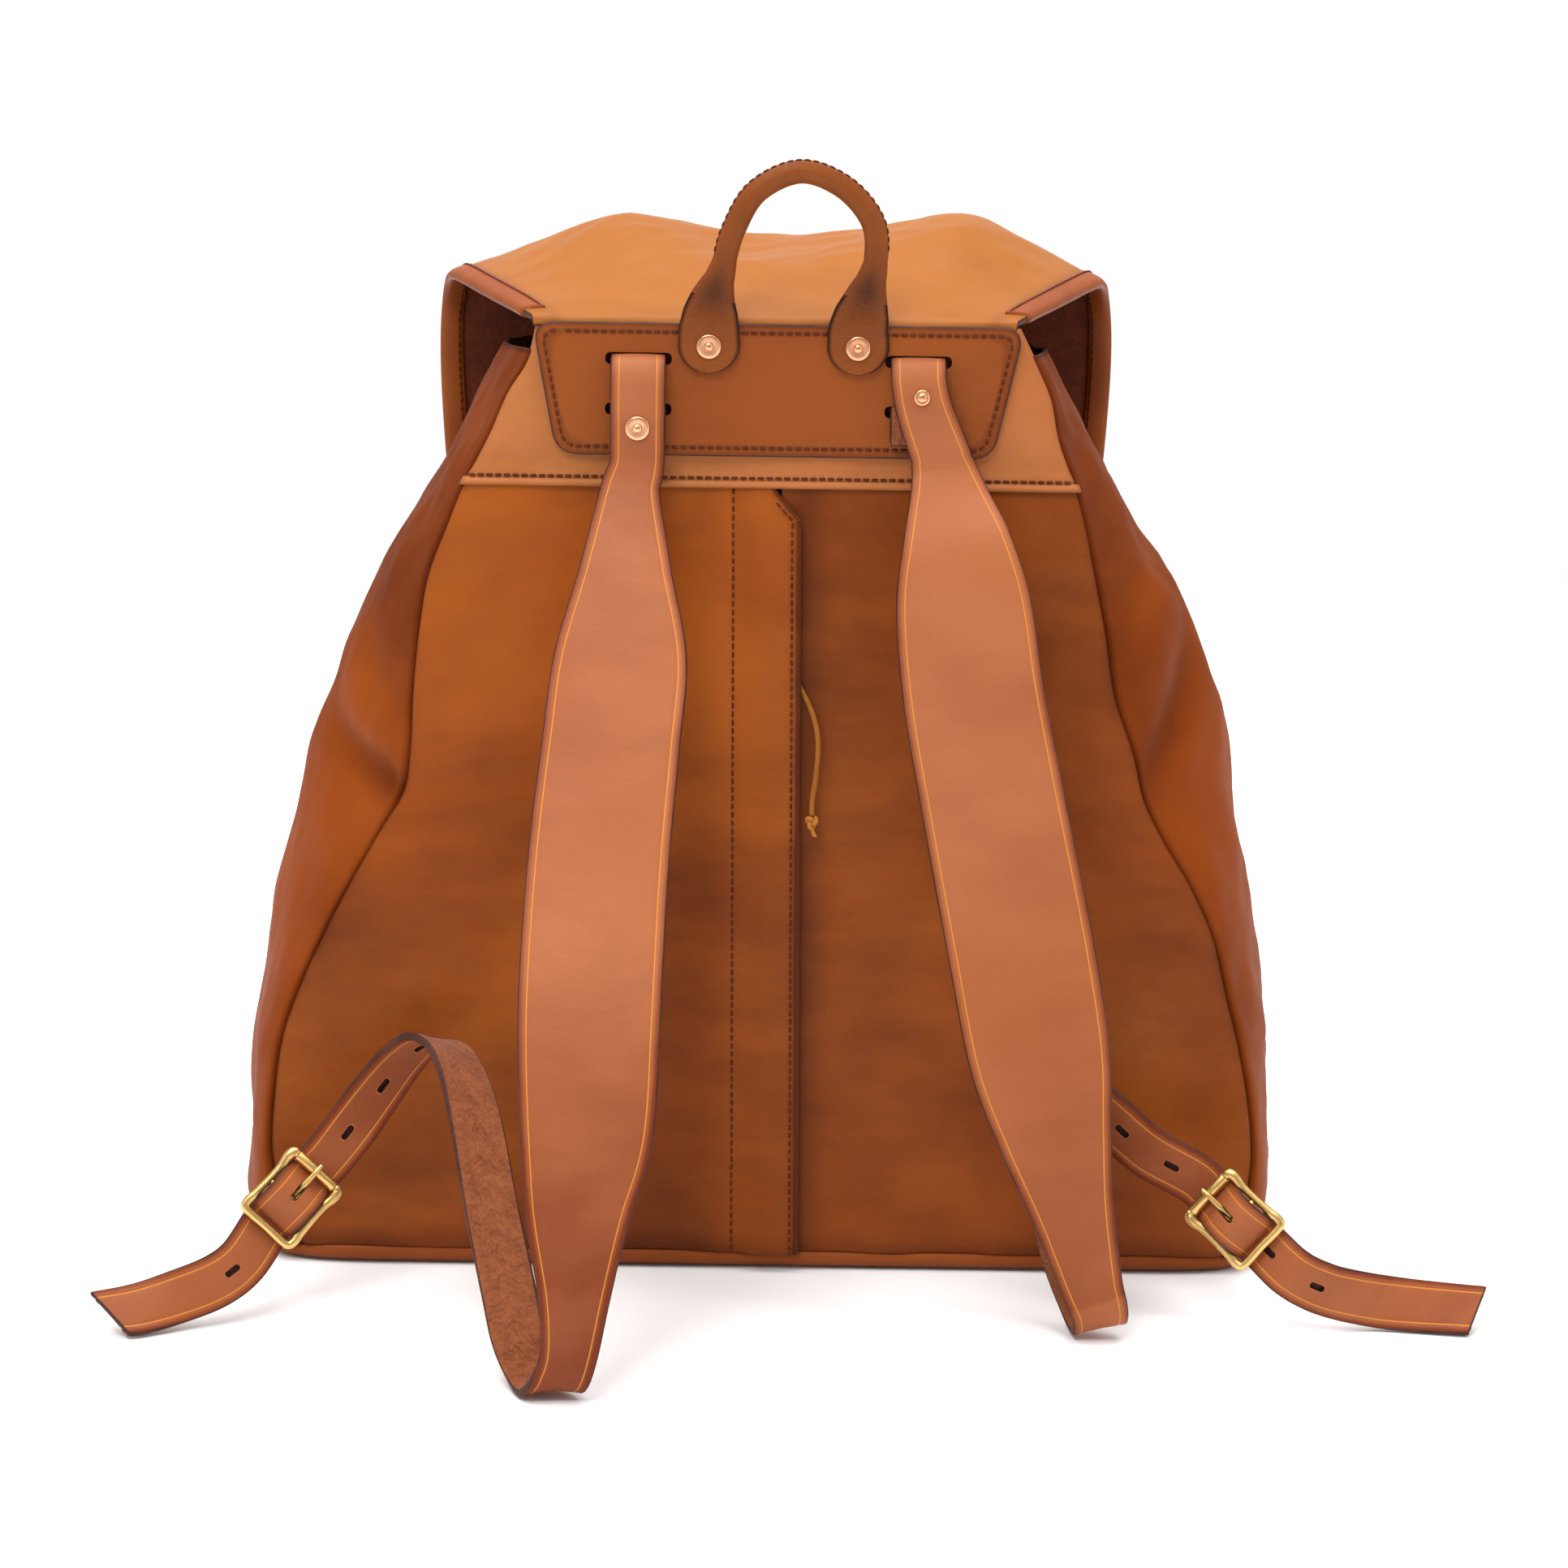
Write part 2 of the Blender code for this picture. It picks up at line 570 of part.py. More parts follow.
# depth and height in millimetres: up the outside, in at the high slot and out again at the low one
LOOP_ROUTE = [(-9.5, 366), (-9.5, 384), (-8.7, 395), (-5.4, 402), (0, 404), (3.5, 403.2), (5.8, 399),
              (6.0, 390), (4.4, 384.5), (1.2, 383), (-2, 382.6), (-4.6, 381), (-5.6, 377.5), (-5.7, 369)]


# how far the front run has moved sideways, and widened, by its lower end
LOOP_LEAN, LOOP_WIDENING = {"left": 0, "right": 9.5}, {"left": 0, "right": 2}
LOOP_TOP, LOOP_END = 398, 366


def build_strap_loop(word, leather, metal, patch, yoke):
    """The strap's top end: up the outside, in at the high slot and out at the low one. The left strap is
    riveted to itself below its slots, the right one between them and through the bag."""
    x, back = STRAP_X[word], BACK_Y / MM
    stations = []
    for depth, z in LOOP_ROUTE:
        in_front = depth < -8 and z < LOOP_TOP
        share = ((LOOP_TOP - z) / (LOOP_TOP - LOOP_END)) ** 1.5 if in_front else 0
        width = STRAP_END_WIDTH / MM + LOOP_WIDENING[word] * share
        stations.append((x / MM + LOOP_LEAN[word] * share, back + depth, z, width, 1, 0, 0))
    loop = strap("strap_loop_" + word, strap_frames(stations, 40), leather, thickness=3.3 * MM)
    outer_depth = -11.2 * MM
    if word == "right":
        rivet_and_burr("strap_right", x + 1.5 * MM, STRAP_RIVET_Z[word], outer_depth, 7.8 * MM, metal,
                       [loop, patch, yoke], burr_radius=3.4 * MM)
        return
    inner_depth, burr_thickness = -3.9 * MM, 1.0 * MM
    start = Vector((x, BACK_Y + inner_depth + GAP, STRAP_RIVET_Z[word]))
    top = inner_depth - outer_depth
    turned("strap_left_rivet", start, -Y,
           [(0, RIVET_RADIUS), (top + 2.6 * MM, RIVET_RADIUS), (top + 2.6 * MM, 2.0 * MM),
            (top + 3.6 * MM, 1.0 * MM)], metal, sides=14)
    middle = Vector((x, BACK_Y + outer_depth - GAP - burr_thickness / 2, STRAP_RIVET_Z[word]))
    hollow_turned("strap_left_burr", middle, Y, burr_thickness, RIVET_RADIUS + GAP / 2, BURR_RADIUS, metal,
                  sides=20)
    cut(loop, bore("strap_left_rivet_hole", start + Y * 2 * MM, -Y, CUTTER_LENGTH, metal))


# x, depth from the back's outer face, z and width in millimetres, then the direction of the strap's width
SHOULDER_STRAPS = {
    "left": [
        (-57, -9.6, 364.8, 22, 1, 0, 0), (-57.1, -9.8, 361, 22, 1, 0, 0), (-57.8, -11, 356.5, 22.5, 1, 0, 0),
        (-60, -15, 347, 25, 1, 0, 0), (-61, -32, 318, 38, 1, 0, 0), (-62, -50, 286, 54, 1, 0, 0),
        (-65, -68, 254, 56, 1, 0, 0), (-69, -95, 208, 57, 1, 0, 0), (-71, -125, 155, 57, 1, 0, 0),
        (-71, -146, 111, 53, 1, 0, 0), (-74, -156, 80, 42, 1, 0, 0), (-75, -163, 45, 28, 1, 0, 0),
        (-77, -165, 22, 22.5, 1, 0, 0), (-81, -162.5, 9, 22, 1, 0, 0),
        (-87, -154.5, 4.4, 22, 0.97, 0.1, 0.08), (-93, -146, 9.6, 22, 0.95, 0, 0.28),
        (-99, -138, 19.5, 21.5, 0.95, 0, 0.28),
        (-104, -122, 33, 21.5, 1, 0, 0.1), (-113, -96, 60, 21.5, 0.97, 0.22, 0),
        (-121, -70, 87, 21.5, 0.9, 0.4, 0), (-128, -53, 103.5, 21.5, 0.8, 0.55, -0.15),
        (-136, -41, 112.5, 21.5, 0.72, 0.65, -0.25), (-146, -32.5, 112, 21.5, 0.68, 0.62, -0.38),
        (-156, -30.5, 103, 21.5, 0.69, 0.5, -0.52), (-166.5, -35.5, 90, 21.5, 0.72, 0.22, -0.62),
        (-176, -42, 77.5, 21.5, 0.738, 0, -0.669)],
    "right": [
        (70.5, -9.6, 363.8, 24.5, 1, 0, 0), (71.2, -9.7, 361, 25.5, 1, 0, 0), (72.2, -11, 357, 27.5, 1, 0, 0),
        (74, -16, 349, 32.5, 1, 0, 0), (77, -30, 333, 44, 1, 0, 0.03), (80, -39, 308, 55, 1, 0, 0.06),
        (85, -47, 270, 58, 1, 0, 0.14), (94, -57, 225, 59, 1, 0, 0.17), (106, -68, 168, 60, 1, 0, 0.15),
        (115, -77, 122, 58, 1, 0, 0.12), (122, -82, 90, 47, 1, 0, 0.05), (130, -86, 58, 34, 1, 0, 0.1),
        (138, -88, 28, 26, 1, 0, 0.18), (142.5, -87.5, 14, 23, 0.95, 0, 0.28),
        (142.5, -81, 6.4, 22, 0.96, -0.1, 0.22), (138, -72, 12, 21.5, 0.93, -0.3, 0.15),
        (129.5, -60, 31, 21.5, 0.9, -0.4, 0.1), (123, -48, 56, 21.5, 0.8, -0.6, 0.15),
        (123, -38.5, 78, 21.5, 0.65, -0.7, 0.3), (128.5, -32.5, 90, 21.5, 0.55, -0.6, 0.55),
        (138, -31, 90.5, 21.5, 0.5, -0.3, 0.75), (148, -32.5, 82.5, 21.5, 0.5, -0.05, 0.85),
        (157, -35.5, 75, 21.5, 0.52, 0.02, 0.85), (167, -39.5, 68.2, 21.5, 0.58, 0.02, 0.81)],
}
# how far before its tail's first frame each shoulder strap stops, and its holes' distances from there
STRAP_STOP = {"left": 2.8, "right": 6.5}
STRAP_HOLES = {"left": (86, 61, 35.5, 11), "right": (58.5, 32.5, 8)}

# local axes of each buckle: centre (x, depth, z) in millimetres, along the strap, across it
BUCKLES = {
    "left": ((-200.5, -61, 50.5), (-0.647, -0.353, -0.676), (0.738, -0.072, -0.669)),
    "right": ((201, -60, 46.5), (0.704, -0.394, -0.591), (0.655, 0.03, 0.755)),
}
# where each buckle's chape meets the bag's bottom corner: x, depth, z
ANCHORS = {"left": (-198, -6, 14), "right": (196, -6, 13)}
# the strap's path through a buckle: along, height over the bars
THROUGH_BUCKLE = [(-25, -5.6), (-21, -5.4), (-16, -5.0), (-9.5, -1.0), (-4.8, 4.6), (0, 6.8), (4.8, 4.8),
                  (9.5, -0.1), (15.0, -4.7)]
# where each tail goes beyond its buckle, and its holes' distances from its first frame
TAILS = {
    "left": [(-220, -72.5, 26.5, 21, 0.78, 0, -0.62), (-231, -77, 18.8, 21.5, 0.82, -0.05, -0.56),
             (-248, -82, 13, 21.5, 0.82, -0.15, -0.55), (-263, -88, 9.9, 21.5, 0.76, -0.3, -0.55),
             (-279, -93.5, 8.8, 21.5, 0.7, -0.46, -0.55)],
    "right": [(224, -70, 27.5, 21, 0.67, 0.05, 0.74), (236, -69, 20.5, 21.5, 0.7, 0.15, 0.69),
              (250, -66, 15.4, 21.5, 0.72, 0.24, 0.63), (273, -63, 10.8, 21.5, 0.7, 0.34, 0.6),
              (308, -66, 9.2, 21.5, 0.66, 0.48, 0.57)],
}
TAIL_HOLES = {"left": (74,), "right": (52, 76)}


def in_row(x, depth, z):
    """A point given in millimetres by its depth from the back."""
    return Vector((x * MM, BACK_Y + depth * MM, z * MM))


def buckle_axes(word):
    """The buckle's centre, along the strap, across it and out towards the viewer."""
    centre, along, across = BUCKLES[word]
    along, across = Vector(along).normalized(), Vector(across)
    across = (across - along * across.dot(along)).normalized()
    out = along.cross(across).normalized()
    return in_row(*centre), along, across, -out if out.y > 0 else out


def strap_stations(rows):
    """Strap stations with their depths turned into y."""
    return [(x, BACK_Y / MM + depth, *rest) for x, depth, *rest in rows]


def build_shoulder_strap(word, leather):
    centre, along, across, out = buckle_axes(word)
    u, n = THROUGH_BUCKLE[0]
    last = (centre + along * ((u - STRAP_STOP[word]) * MM) + out * (n * MM)) / MM
    frames = strap_frames(strap_stations(SHOULDER_STRAPS[word]) + [(*last, 21.5, *across)], 80)
    pivot = (STRAP_X[word], BACK_Y - 11.6 * MM, STRAP_SPLIT_Z - 0.8 * MM)
    main = strap("shoulder_strap_" + word, frames, leather, origin=pivot)
    total = length_of(frames)
    punch(main, frames, [total - distance * MM for distance in STRAP_HOLES[word]])


def build_tail(word, leather):
    """The strap's free end, from its buckle's roller onwards, with the slot that the prong stands in."""
    centre, along, across, out = buckle_axes(word)
    stations = []
    for u, n in THROUGH_BUCKLE:
        place = (centre + along * (u * MM) + out * (n * MM)) / MM
        stations.append((*place, 20.6, *across))
    frames = strap_frames(stations + strap_stations(TAILS[word]), 60)
    tail = strap("strap_tail_" + word, frames, leather)
    slot_size = (3.6 * MM, 11.5 * MM, 16 * MM)
    slot_centre = centre + along * (-4.6 * MM) + out * (3.0 * MM)
    cut(tail, block(f"prong_slot_{word}", slot_centre, slot_size, across, along, out, leather))
    punch(tail, frames, [distance * MM for distance in TAIL_HOLES[word]])


# ---------------------------------------------------------------- roller buckles
HALF_LENGTH, HALF_WIDTH = BUCKLE_LENGTH / MM / 2, BUCKLE_WIDTH / MM / 2
NEAR_BAR = HALF_LENGTH - BAR / MM           # distance of the two end bars from the centre bar
# one side of the rim, along and across in millimetres: round shoulders and a waist
RIM_SIDE = [(-NEAR_BAR, 10.6), (-NEAR_BAR - 0.2, 12.3), (-NEAR_BAR + 3.2, HALF_WIDTH - 1.4),
            (-7, HALF_WIDTH - 2.2), (0, HALF_WIDTH - 2.3), (8, HALF_WIDTH - 1.9),
            (NEAR_BAR - 3, HALF_WIDTH - 1.4), (NEAR_BAR, HALF_WIDTH - 3.4)]
RIM_RADIUS, SHOULDER_RADIUS, ROLLER_BAR_RADIUS, CENTRE_BAR_RADIUS = 1.6, 2.1, 1.25, 1.45
ROLLER_LENGTH, ROLLER_BORE, ROLLER_RADIUS = 20.4, 1.62, 2.45
EYE_BORE, EYE_RADIUS, EYE_WIDTH = 1.8, 3.2, 3.0
# the prong's arm: along, height, half width and half thickness; its tip rests on the roller
PRONG_ARM = [(-1.2, 2.45, 1.5, 0.75), (-6, 3.0, 1.4, 0.9), (-11, 3.55, 1.25, 0.9), (-15.5, 3.75, 1.1, 0.85),
             (-19.2, 3.3, 0.8, 0.6)]


def rim_radius(u):
    """Half the thickness of the rim: thin for the roller's bar, thick at the shoulders beside it."""
    if abs(u + NEAR_BAR) < 0.1:
        return ROLLER_BAR_RADIUS
    return SHOULDER_RADIUS if u < -NEAR_BAR + 4 else RIM_RADIUS


def build_buckle(word, metal):
    """A centre-bar roller buckle: the frame, a roller on its near bar and a prong on its centre bar."""
    centre, along, across, out = buckle_axes(word)

    def place(u, w, n):
        return centre + along * (u * MM) + across * (w * MM) + out * (n * MM)

    rim = [(u, -w) for u, w in RIM_SIDE] + [(NEAR_BAR, 0)] + RIM_SIDE[::-1]
    sides = 10
    verts, faces = [], []
    for i, (u, w) in enumerate(rim):
        before, after = rim[i - 1], rim[(i + 1) % len(rim)]
        direction = Vector((after[0] - before[0], after[1] - before[1])).normalized()
        radial = Vector((-direction.y, direction.x))
        radius, following = rim_radius(u), (i + 1) % len(rim)
        for k in range(sides):
            a, n = 2 * math.pi * k / sides, (k + 1) % sides
            reach = radius * math.cos(a)
            verts.append(place(u + radial.x * reach, w + radial.y * reach, radius * math.sin(a)))
            faces.append((i * sides + k, i * sides + n, following * sides + n, following * sides + k))
    frame = add_object(f"buckle_{word}_frame", verts, faces, metal, centre, smooth=True)
    bar_half = HALF_WIDTH - 2.3
    bar_profile = [(0, CENTRE_BAR_RADIUS * MM), (2 * bar_half * MM, CENTRE_BAR_RADIUS * MM)]
    centre_bar = turned(f"buckle_{word}_centre_bar", place(0, -bar_half, 0), across, bar_profile, metal, sides=12)
    join(frame, centre_bar)
    hollow_turned(f"buckle_{word}_roller", place(-NEAR_BAR, 0, 0), across, ROLLER_LENGTH * MM,
                  ROLLER_BORE * MM, ROLLER_RADIUS * MM, metal)
    prong = hollow_turned(f"buckle_{word}_prong", centre, across, EYE_WIDTH * MM, EYE_BORE * MM,
                          EYE_RADIUS * MM, metal)
    arm = [[place(u, w * math.cos(a), n + t * math.sin(a)) for a in (2 * math.pi * k / 8 for k in range(8))]
           for u, n, w, t in PRONG_ARM]
    join(prong, loft(f"buckle_{word}_prong_arm", arm, metal, centre))


CHAPE_HALF_WIDTH, CHAPE_THICKNESS, CHAPE_BEND = 9.0, 2.0, 2.9


def build_chape(word, leather, metal):
    """The leather loop round the centre bar, slotted for the prong, whose two riveted ends run to the bag."""
    centre, along, across, _ = buckle_axes(word)
    far = in_row(*ANCHORS[word]) - centre
    reach, down = far.length / MM, far.normalized()
    forward = down.cross(across).normalized()
    if forward.dot(along) < 0:
        forward = -forward
    # away from the bar and forwards: up one layer, round the bar and down the other
    rise = [(distance, 1.3) for distance in (reach, reach * 0.6, 12)] + [(6, 2.0)]
    turns = [math.pi * k / 8 for k in range(9)]
    bend = [(-CHAPE_BEND * math.sin(turn), CHAPE_BEND * math.cos(turn)) for turn in turns]
    path = rise + bend + [(distance, -offset) for distance, offset in rise[::-1]]
    rings = []
    for i, (distance, offset) in enumerate(path):
        before, after = path[max(i - 1, 0)], path[min(i + 1, len(path) - 1)]
        run = Vector((after[0] - before[0], after[1] - before[1])).normalized()
        middle = centre + down * (distance * MM) + forward * (offset * MM)
        normal = (forward * run.x - down * run.y) * (CHAPE_THICKNESS / 2 * MM)
        half = across * (CHAPE_HALF_WIDTH * MM)
        rings.append([middle - half - normal, middle + half - normal,
                      middle + half + normal, middle - half + normal])
    chape = loft(f"buckle_{word}_chape", rings, leather, centre)
    slot_size = (6.4 * MM, CUTTER_LENGTH, CUTTER_LENGTH)
    cut(chape, block(f"chape_slot_{word}", centre - down * (0.5 * MM), slot_size, across,
                     down.cross(across).normalized(), down, leather))
    spot = centre + down * (reach * 0.62 * MM)
    turned(f"chape_{word}_rivet", spot - forward * (4.6 * MM), forward,
           [(0, 2.6 * MM), (0.6 * MM, 3.4 * MM), (1.4 * MM, 3.4 * MM), (1.4 * MM, RIVET_RADIUS),
            (8.2 * MM, RIVET_RADIUS)], metal, sides=14)
    cut(chape, bore(f"chape_{word}_rivet_hole", spot - forward * (12 * MM), forward, 24 * MM, metal))


# ---------------------------------------------------------------- lid
# along the lid from its fold: depth behind the back's outer face, height in the middle, height at the side
# edge, half width
LID = [(1.6, 419.5, 419.5, 102), (22, 428, 420.5, 109), (52, 438, 421, 119), (86, 446.5, 421.5, 130),
       (118, 450.5, 422, 140), (140, 449, 421.5, 146.5), (155, 442, 416.5, 149.5), (164, 430, 407, 151),
       (167.5, 410, 392, 152), (169, 385, 374, 152), (169, 350, 352, 151), (167.5, 305, 322, 149)]


def lid_point(row, q):
    """A point of the lid's middle surface: row is one row of the table, q runs from -1 to 1 across."""
    depth, middle, edge, half = row
    droop = abs(q) ** 2.4
    lag = 1.5 * droop * min(depth / 60, 1)
    return Vector((q * half * MM, BACK_Y + (depth - lag) * MM, (middle + (edge - middle) * droop) * MM))


def lid_grids(rows, columns):
    """Middle surface and its outward normals on a grid."""
    profile = blend_points([(0, *row) for row in LID], rows)
    points = [[lid_point(row[1:], -1 + 2 * c / (columns - 1)) for c in range(columns)] for row in profile]
    normals = []
    for r in range(rows):
        row = []
        for c in range(columns):
            down = points[min(r + 1, rows - 1)][c] - points[max(r - 1, 0)][c]
            right = points[r][min(c + 1, columns - 1)] - points[r][max(c - 1, 0)]
            row.append(right.cross(down).normalized())
        normals.append(row)
    return points, normals


def offset_grid(points, normals, distance):
    return [[p + n * distance for p, n in zip(*rows)] for rows in zip(points, normals)]


def build_lid(leather, binding_look):
    half = BODY_LEATHER / 2
    pivot = (0, BACK_Y + 1.6 * MM, HINGE_Z)
    points, normals = lid_grids(21, 13)
    outside, inside = (offset_grid(points, normals, distance) for distance in (half, -half))
    lid = sheet("lid", outside, inside, leather, pivot)
    # the binding lies over the two sides and the lower edge, two cells of a finer grid wide
    rows, columns, width = 49, 61, 2
    points, normals = lid_grids(rows, columns)
    bottom, right = rows - 1, columns - 1
    pairs = [((r, 0), (r, width)) for r in range(4, bottom - width, 2)]
    pairs += [((bottom, 0), (bottom - width, width))]
    pairs += [((bottom, c), (bottom - width, c)) for c in range(width + 2, right - width, 2)]
    pairs += [((bottom, right), (bottom - width, right - width))]
    pairs += [((r, right), (r, right - width)) for r in range(bottom - width - 2, 3, -2)]
    low = half + 2 * GAP
    high = low + 1.2 * MM
    front, back = ([[points[r][c] + normals[r][c] * height for r, c in pair] for pair in pairs]
                   for height in (high, low))
    sheet("lid_binding", front, back, binding_look, pivot)
    return lid


# ---------------------------------------------------------------- front closure
CLOSURE_WIDTH, CLOSURE_THICKNESS = 28, 3.2 * MM
STUD_Z = 262 * MM
LID_FRONT = BACK_Y + 169 * MM + BODY_LEATHER / 2        # outer face of the lid's hanging front
CLOSURE_RIVETS = {"left": -8 * MM, "right": 8 * MM}
CLOSURE_RIVET_Z = 346 * MM
# distance out of the front and radius of the stud, in millimetres
STUD = [(0, 6), (1.2, 6), (1.2, 1.8), (6.4, 1.8), (6.4, 3.4), (7.4, 3.4), (7.4, 1.9), (12, 1.9), (13.4, 3.2),
        (15.4, 3.9), (17.4, 3.0), (18.4, 1.0)]


def build_closure(leather, metal, copper, lid, front):
    """A tab riveted under the lid's lower edge, with a keyhole that buttons over a stud on the front."""
    face = BACK_Y + by_height(DEPTH, STUD_Z)
    over_lid = LID_FRONT + 3.9 * MM
    root_stations = [(0, over_lid / MM, z, CLOSURE_WIDTH, 1, 0, 0) for z in (358, 345, 328, 309)]
    root = strap("closure_strap_root", strap_frames(root_stations, 5), leather, CLOSURE_THICKNESS)
    rows = [(over_lid, 308.2, 28), (over_lid - 0.5 * MM, 295, 28), (face + 5.0 * MM, 272, 28),
            (face + 4.8 * MM, 255, 28), (face + 5.2 * MM, 240, 27), (face + 6.0 * MM, 228, 16)]
    tab_stations = [(0, y / MM, z, width, 1, 0, 0) for y, z, width in rows]
    tab = strap("closure_tab", strap_frames(tab_stations, 24), leather, CLOSURE_THICKNESS,
                (0, LID_FRONT + 5.7 * MM, 308.6 * MM))
    keyhole_size = (9.6 * MM, 19 * MM, 40 * MM)
    cut(tab, block("closure_keyhole", (0, face, STUD_Z - 4.5 * MM), keyhole_size, X, Z, Y, leather))
    start = Vector((0, face - 6 * MM, STUD_Z))
    turned("closure_stud", start, Y, [(d * MM, r * MM) for d, r in STUD], metal)
    hole = [(0, 2.1 * MM), (CUTTER_LENGTH, 2.1 * MM)]
    cut(front, turned("closure_stud_hole", start - Y * 4 * MM, Y, hole, metal))
    for word, x in CLOSURE_RIVETS.items():
        outer = Vector((x, over_lid + CLOSURE_THICKNESS / 2 + GAP, CLOSURE_RIVET_Z))
        turned("closure_rivet_" + word, outer + Y * 1.3 * MM, -Y,
               [(0, 2.2 * MM), (0.7 * MM, 3.6 * MM), (1.3 * MM, 3.6 * MM), (1.3 * MM, RIVET_RADIUS),
                (11.4 * MM, RIVET_RADIUS)], copper, sides=14)
        for target in (root, lid):
            cut(target, bore(f"closure_hole_{word}_{target.name}", outer + Y * 8 * MM, -Y, 24 * MM, copper))


# ---------------------------------------------------------------- assembly
def main():
    for old in list(bpy.data.objects):
        bpy.data.objects.remove(old)
    leather = material("body_leather", (0.33, 0.115, 0.028), 0.5)
    lid_leather = material("lid_leather", (0.50, 0.21, 0.055), 0.45)
    strap_leather = material("strap_leather", (0.36, 0.11, 0.045), 0.45)
    handle_leather = material("handle_leather", (0.18, 0.055, 0.02), 0.4)
    edge_leather = material("edge_leather", (0.20, 0.055, 0.02), 0.5)
    brass = material("brass", (0.80, 0.58, 0.22), 0.25, 1.0)
    copper = material("copper", (0.85, 0.45, 0.28), 0.3, 1.0)
    tape = material("zip_tape", (0.06, 0.035, 0.02), 0.9)
    lace = material("lace_leather", (0.55, 0.24, 0.05), 0.6)
    cord = material("core_cord", (0.6, 0.5, 0.35), 0.9)

    yoke, front = build_body(leather, edge_leather)
    build_zip(tape, brass, lace)
    build_flap(leather)
    patch = build_patch(leather)
    cut_slots([patch, yoke])
    build_handle_tabs(handle_leather, copper, patch, yoke)
    build_grip(handle_leather, cord)
    for word in ("left", "right"):
        build_strap_loop(word, strap_leather, copper, patch, yoke)
        build_shoulder_strap(word, strap_leather)
        build_tail(word, strap_leather)
        build_buckle(word, brass)
        build_chape(word, handle_leather, copper)
    lid = build_lid(lid_leather, edge_leather)
    build_closure(strap_leather, brass, copper, lid, front)


main()
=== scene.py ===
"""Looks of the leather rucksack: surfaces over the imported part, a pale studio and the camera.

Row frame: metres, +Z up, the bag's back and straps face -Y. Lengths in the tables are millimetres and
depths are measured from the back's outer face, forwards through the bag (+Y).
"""

import json
import math

import bpy
import numpy as np
from mathutils import Matrix, Vector

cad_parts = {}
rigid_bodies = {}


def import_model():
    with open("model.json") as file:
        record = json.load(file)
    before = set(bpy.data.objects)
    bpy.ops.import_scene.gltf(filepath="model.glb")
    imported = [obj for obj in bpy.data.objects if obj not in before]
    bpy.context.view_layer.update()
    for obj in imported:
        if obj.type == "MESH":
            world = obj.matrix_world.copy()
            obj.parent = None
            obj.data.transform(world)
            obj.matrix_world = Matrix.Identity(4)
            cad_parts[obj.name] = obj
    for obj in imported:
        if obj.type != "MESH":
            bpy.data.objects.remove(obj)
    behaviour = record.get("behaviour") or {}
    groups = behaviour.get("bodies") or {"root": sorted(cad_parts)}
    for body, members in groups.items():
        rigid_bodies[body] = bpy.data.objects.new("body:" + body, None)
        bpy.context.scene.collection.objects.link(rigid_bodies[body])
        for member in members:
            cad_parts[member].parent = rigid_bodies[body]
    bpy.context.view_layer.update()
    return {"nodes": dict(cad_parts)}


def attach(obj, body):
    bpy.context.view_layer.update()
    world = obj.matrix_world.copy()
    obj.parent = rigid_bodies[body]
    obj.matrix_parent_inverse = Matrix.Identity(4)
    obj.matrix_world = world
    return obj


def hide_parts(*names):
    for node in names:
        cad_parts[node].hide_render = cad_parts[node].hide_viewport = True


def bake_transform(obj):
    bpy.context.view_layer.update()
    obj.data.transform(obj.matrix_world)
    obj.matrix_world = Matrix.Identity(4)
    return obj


MM = 0.001
BACK_Y = -75.0
HINGE_Z, YOKE_Z, WALL_Z = 418.0, 349.0, 7.5
BODY_LEATHER, PANEL_LEATHER = 2.6, 2.3
FLOOR_ROUND = 2.4
STRAP_THICKNESS, SLOT_HEIGHTS = 3.4, (403.3, 382.0)

# ---------------------------------------------------------------- outline of the bag, by height
BACK = {"left": [(0, 193), (8, 203), (45, 216), (78, 215), (108, 210), (130, 202), (156, 190), (177, 179),
                 (200, 166), (214, 158), (234, 154.5), (259, 153), (288, 150), (312, 146), (330, 139),
                 (349, 131), (371, 120), (389, 112), (400, 105), (418, 100)],
        "right": [(0, 193), (8, 203), (45, 214), (78, 212), (108, 206), (130, 200), (156, 193), (177, 183),
                  (200, 169), (214, 162), (234, 157), (259, 148), (288, 143), (312, 138), (330, 134),
                  (349, 129), (371, 121), (389, 117), (400, 112), (418, 103)]}
SIDE = {"left": [(0, 220), (8, 229), (13, 231), (60, 231.5), (99, 230), (123, 226), (149, 222), (174, 216),
                 (199, 210), (224, 204), (247, 195), (280, 184), (302, 173), (320, 162), (349, 144),
                 (377, 130), (404, 116), (418, 109)],
        "right": [(0, 214), (8, 222), (13, 224), (60, 226.5), (99, 225), (123, 223), (149, 218), (174, 213),
                  (199, 209), (224, 205), (247, 199), (262, 194), (280, 187), (302, 176), (320, 163),
                  (349, 146), (377, 130), (404, 116), (418, 109)]}
FRONT = [(0, 193), (8, 202), (45, 214), (105, 208), (160, 193), (212, 173), (260, 157), (312, 142),
         (349, 130), (404, 108), (418, 103)]
DEPTH = [(0, 143), (8, 147), (60, 156), (160, 160), (260, 155), (330, 145), (404, 127), (418, 124)]
FULLNESS = [(0, 0.35), (60, 0.45), (200, 0.75), (418, 0.85)]

PATCH = [(-101, 417.6), (-91, 363), (92, 363), (104, 417.6)]
STRAP_X = {"left": -57.0, "right": 60.5}
# x, height and the radius of the washer
STRAP_RIVET = {"left": (-57.0, 375.0, 5.1), "right": (62.0, 389.5, 3.4)}
# how far the strap's front run has moved sideways, and widened, where it leaves its slots
LOOP_LEAN, LOOP_WIDENING = {"left": 0, "right": 9.5}, {"left": 0, "right": 2}
HANDLE_X = {"left": -27.5, "right": 35.0}
HANDLE_RIVET_Z = 409.0

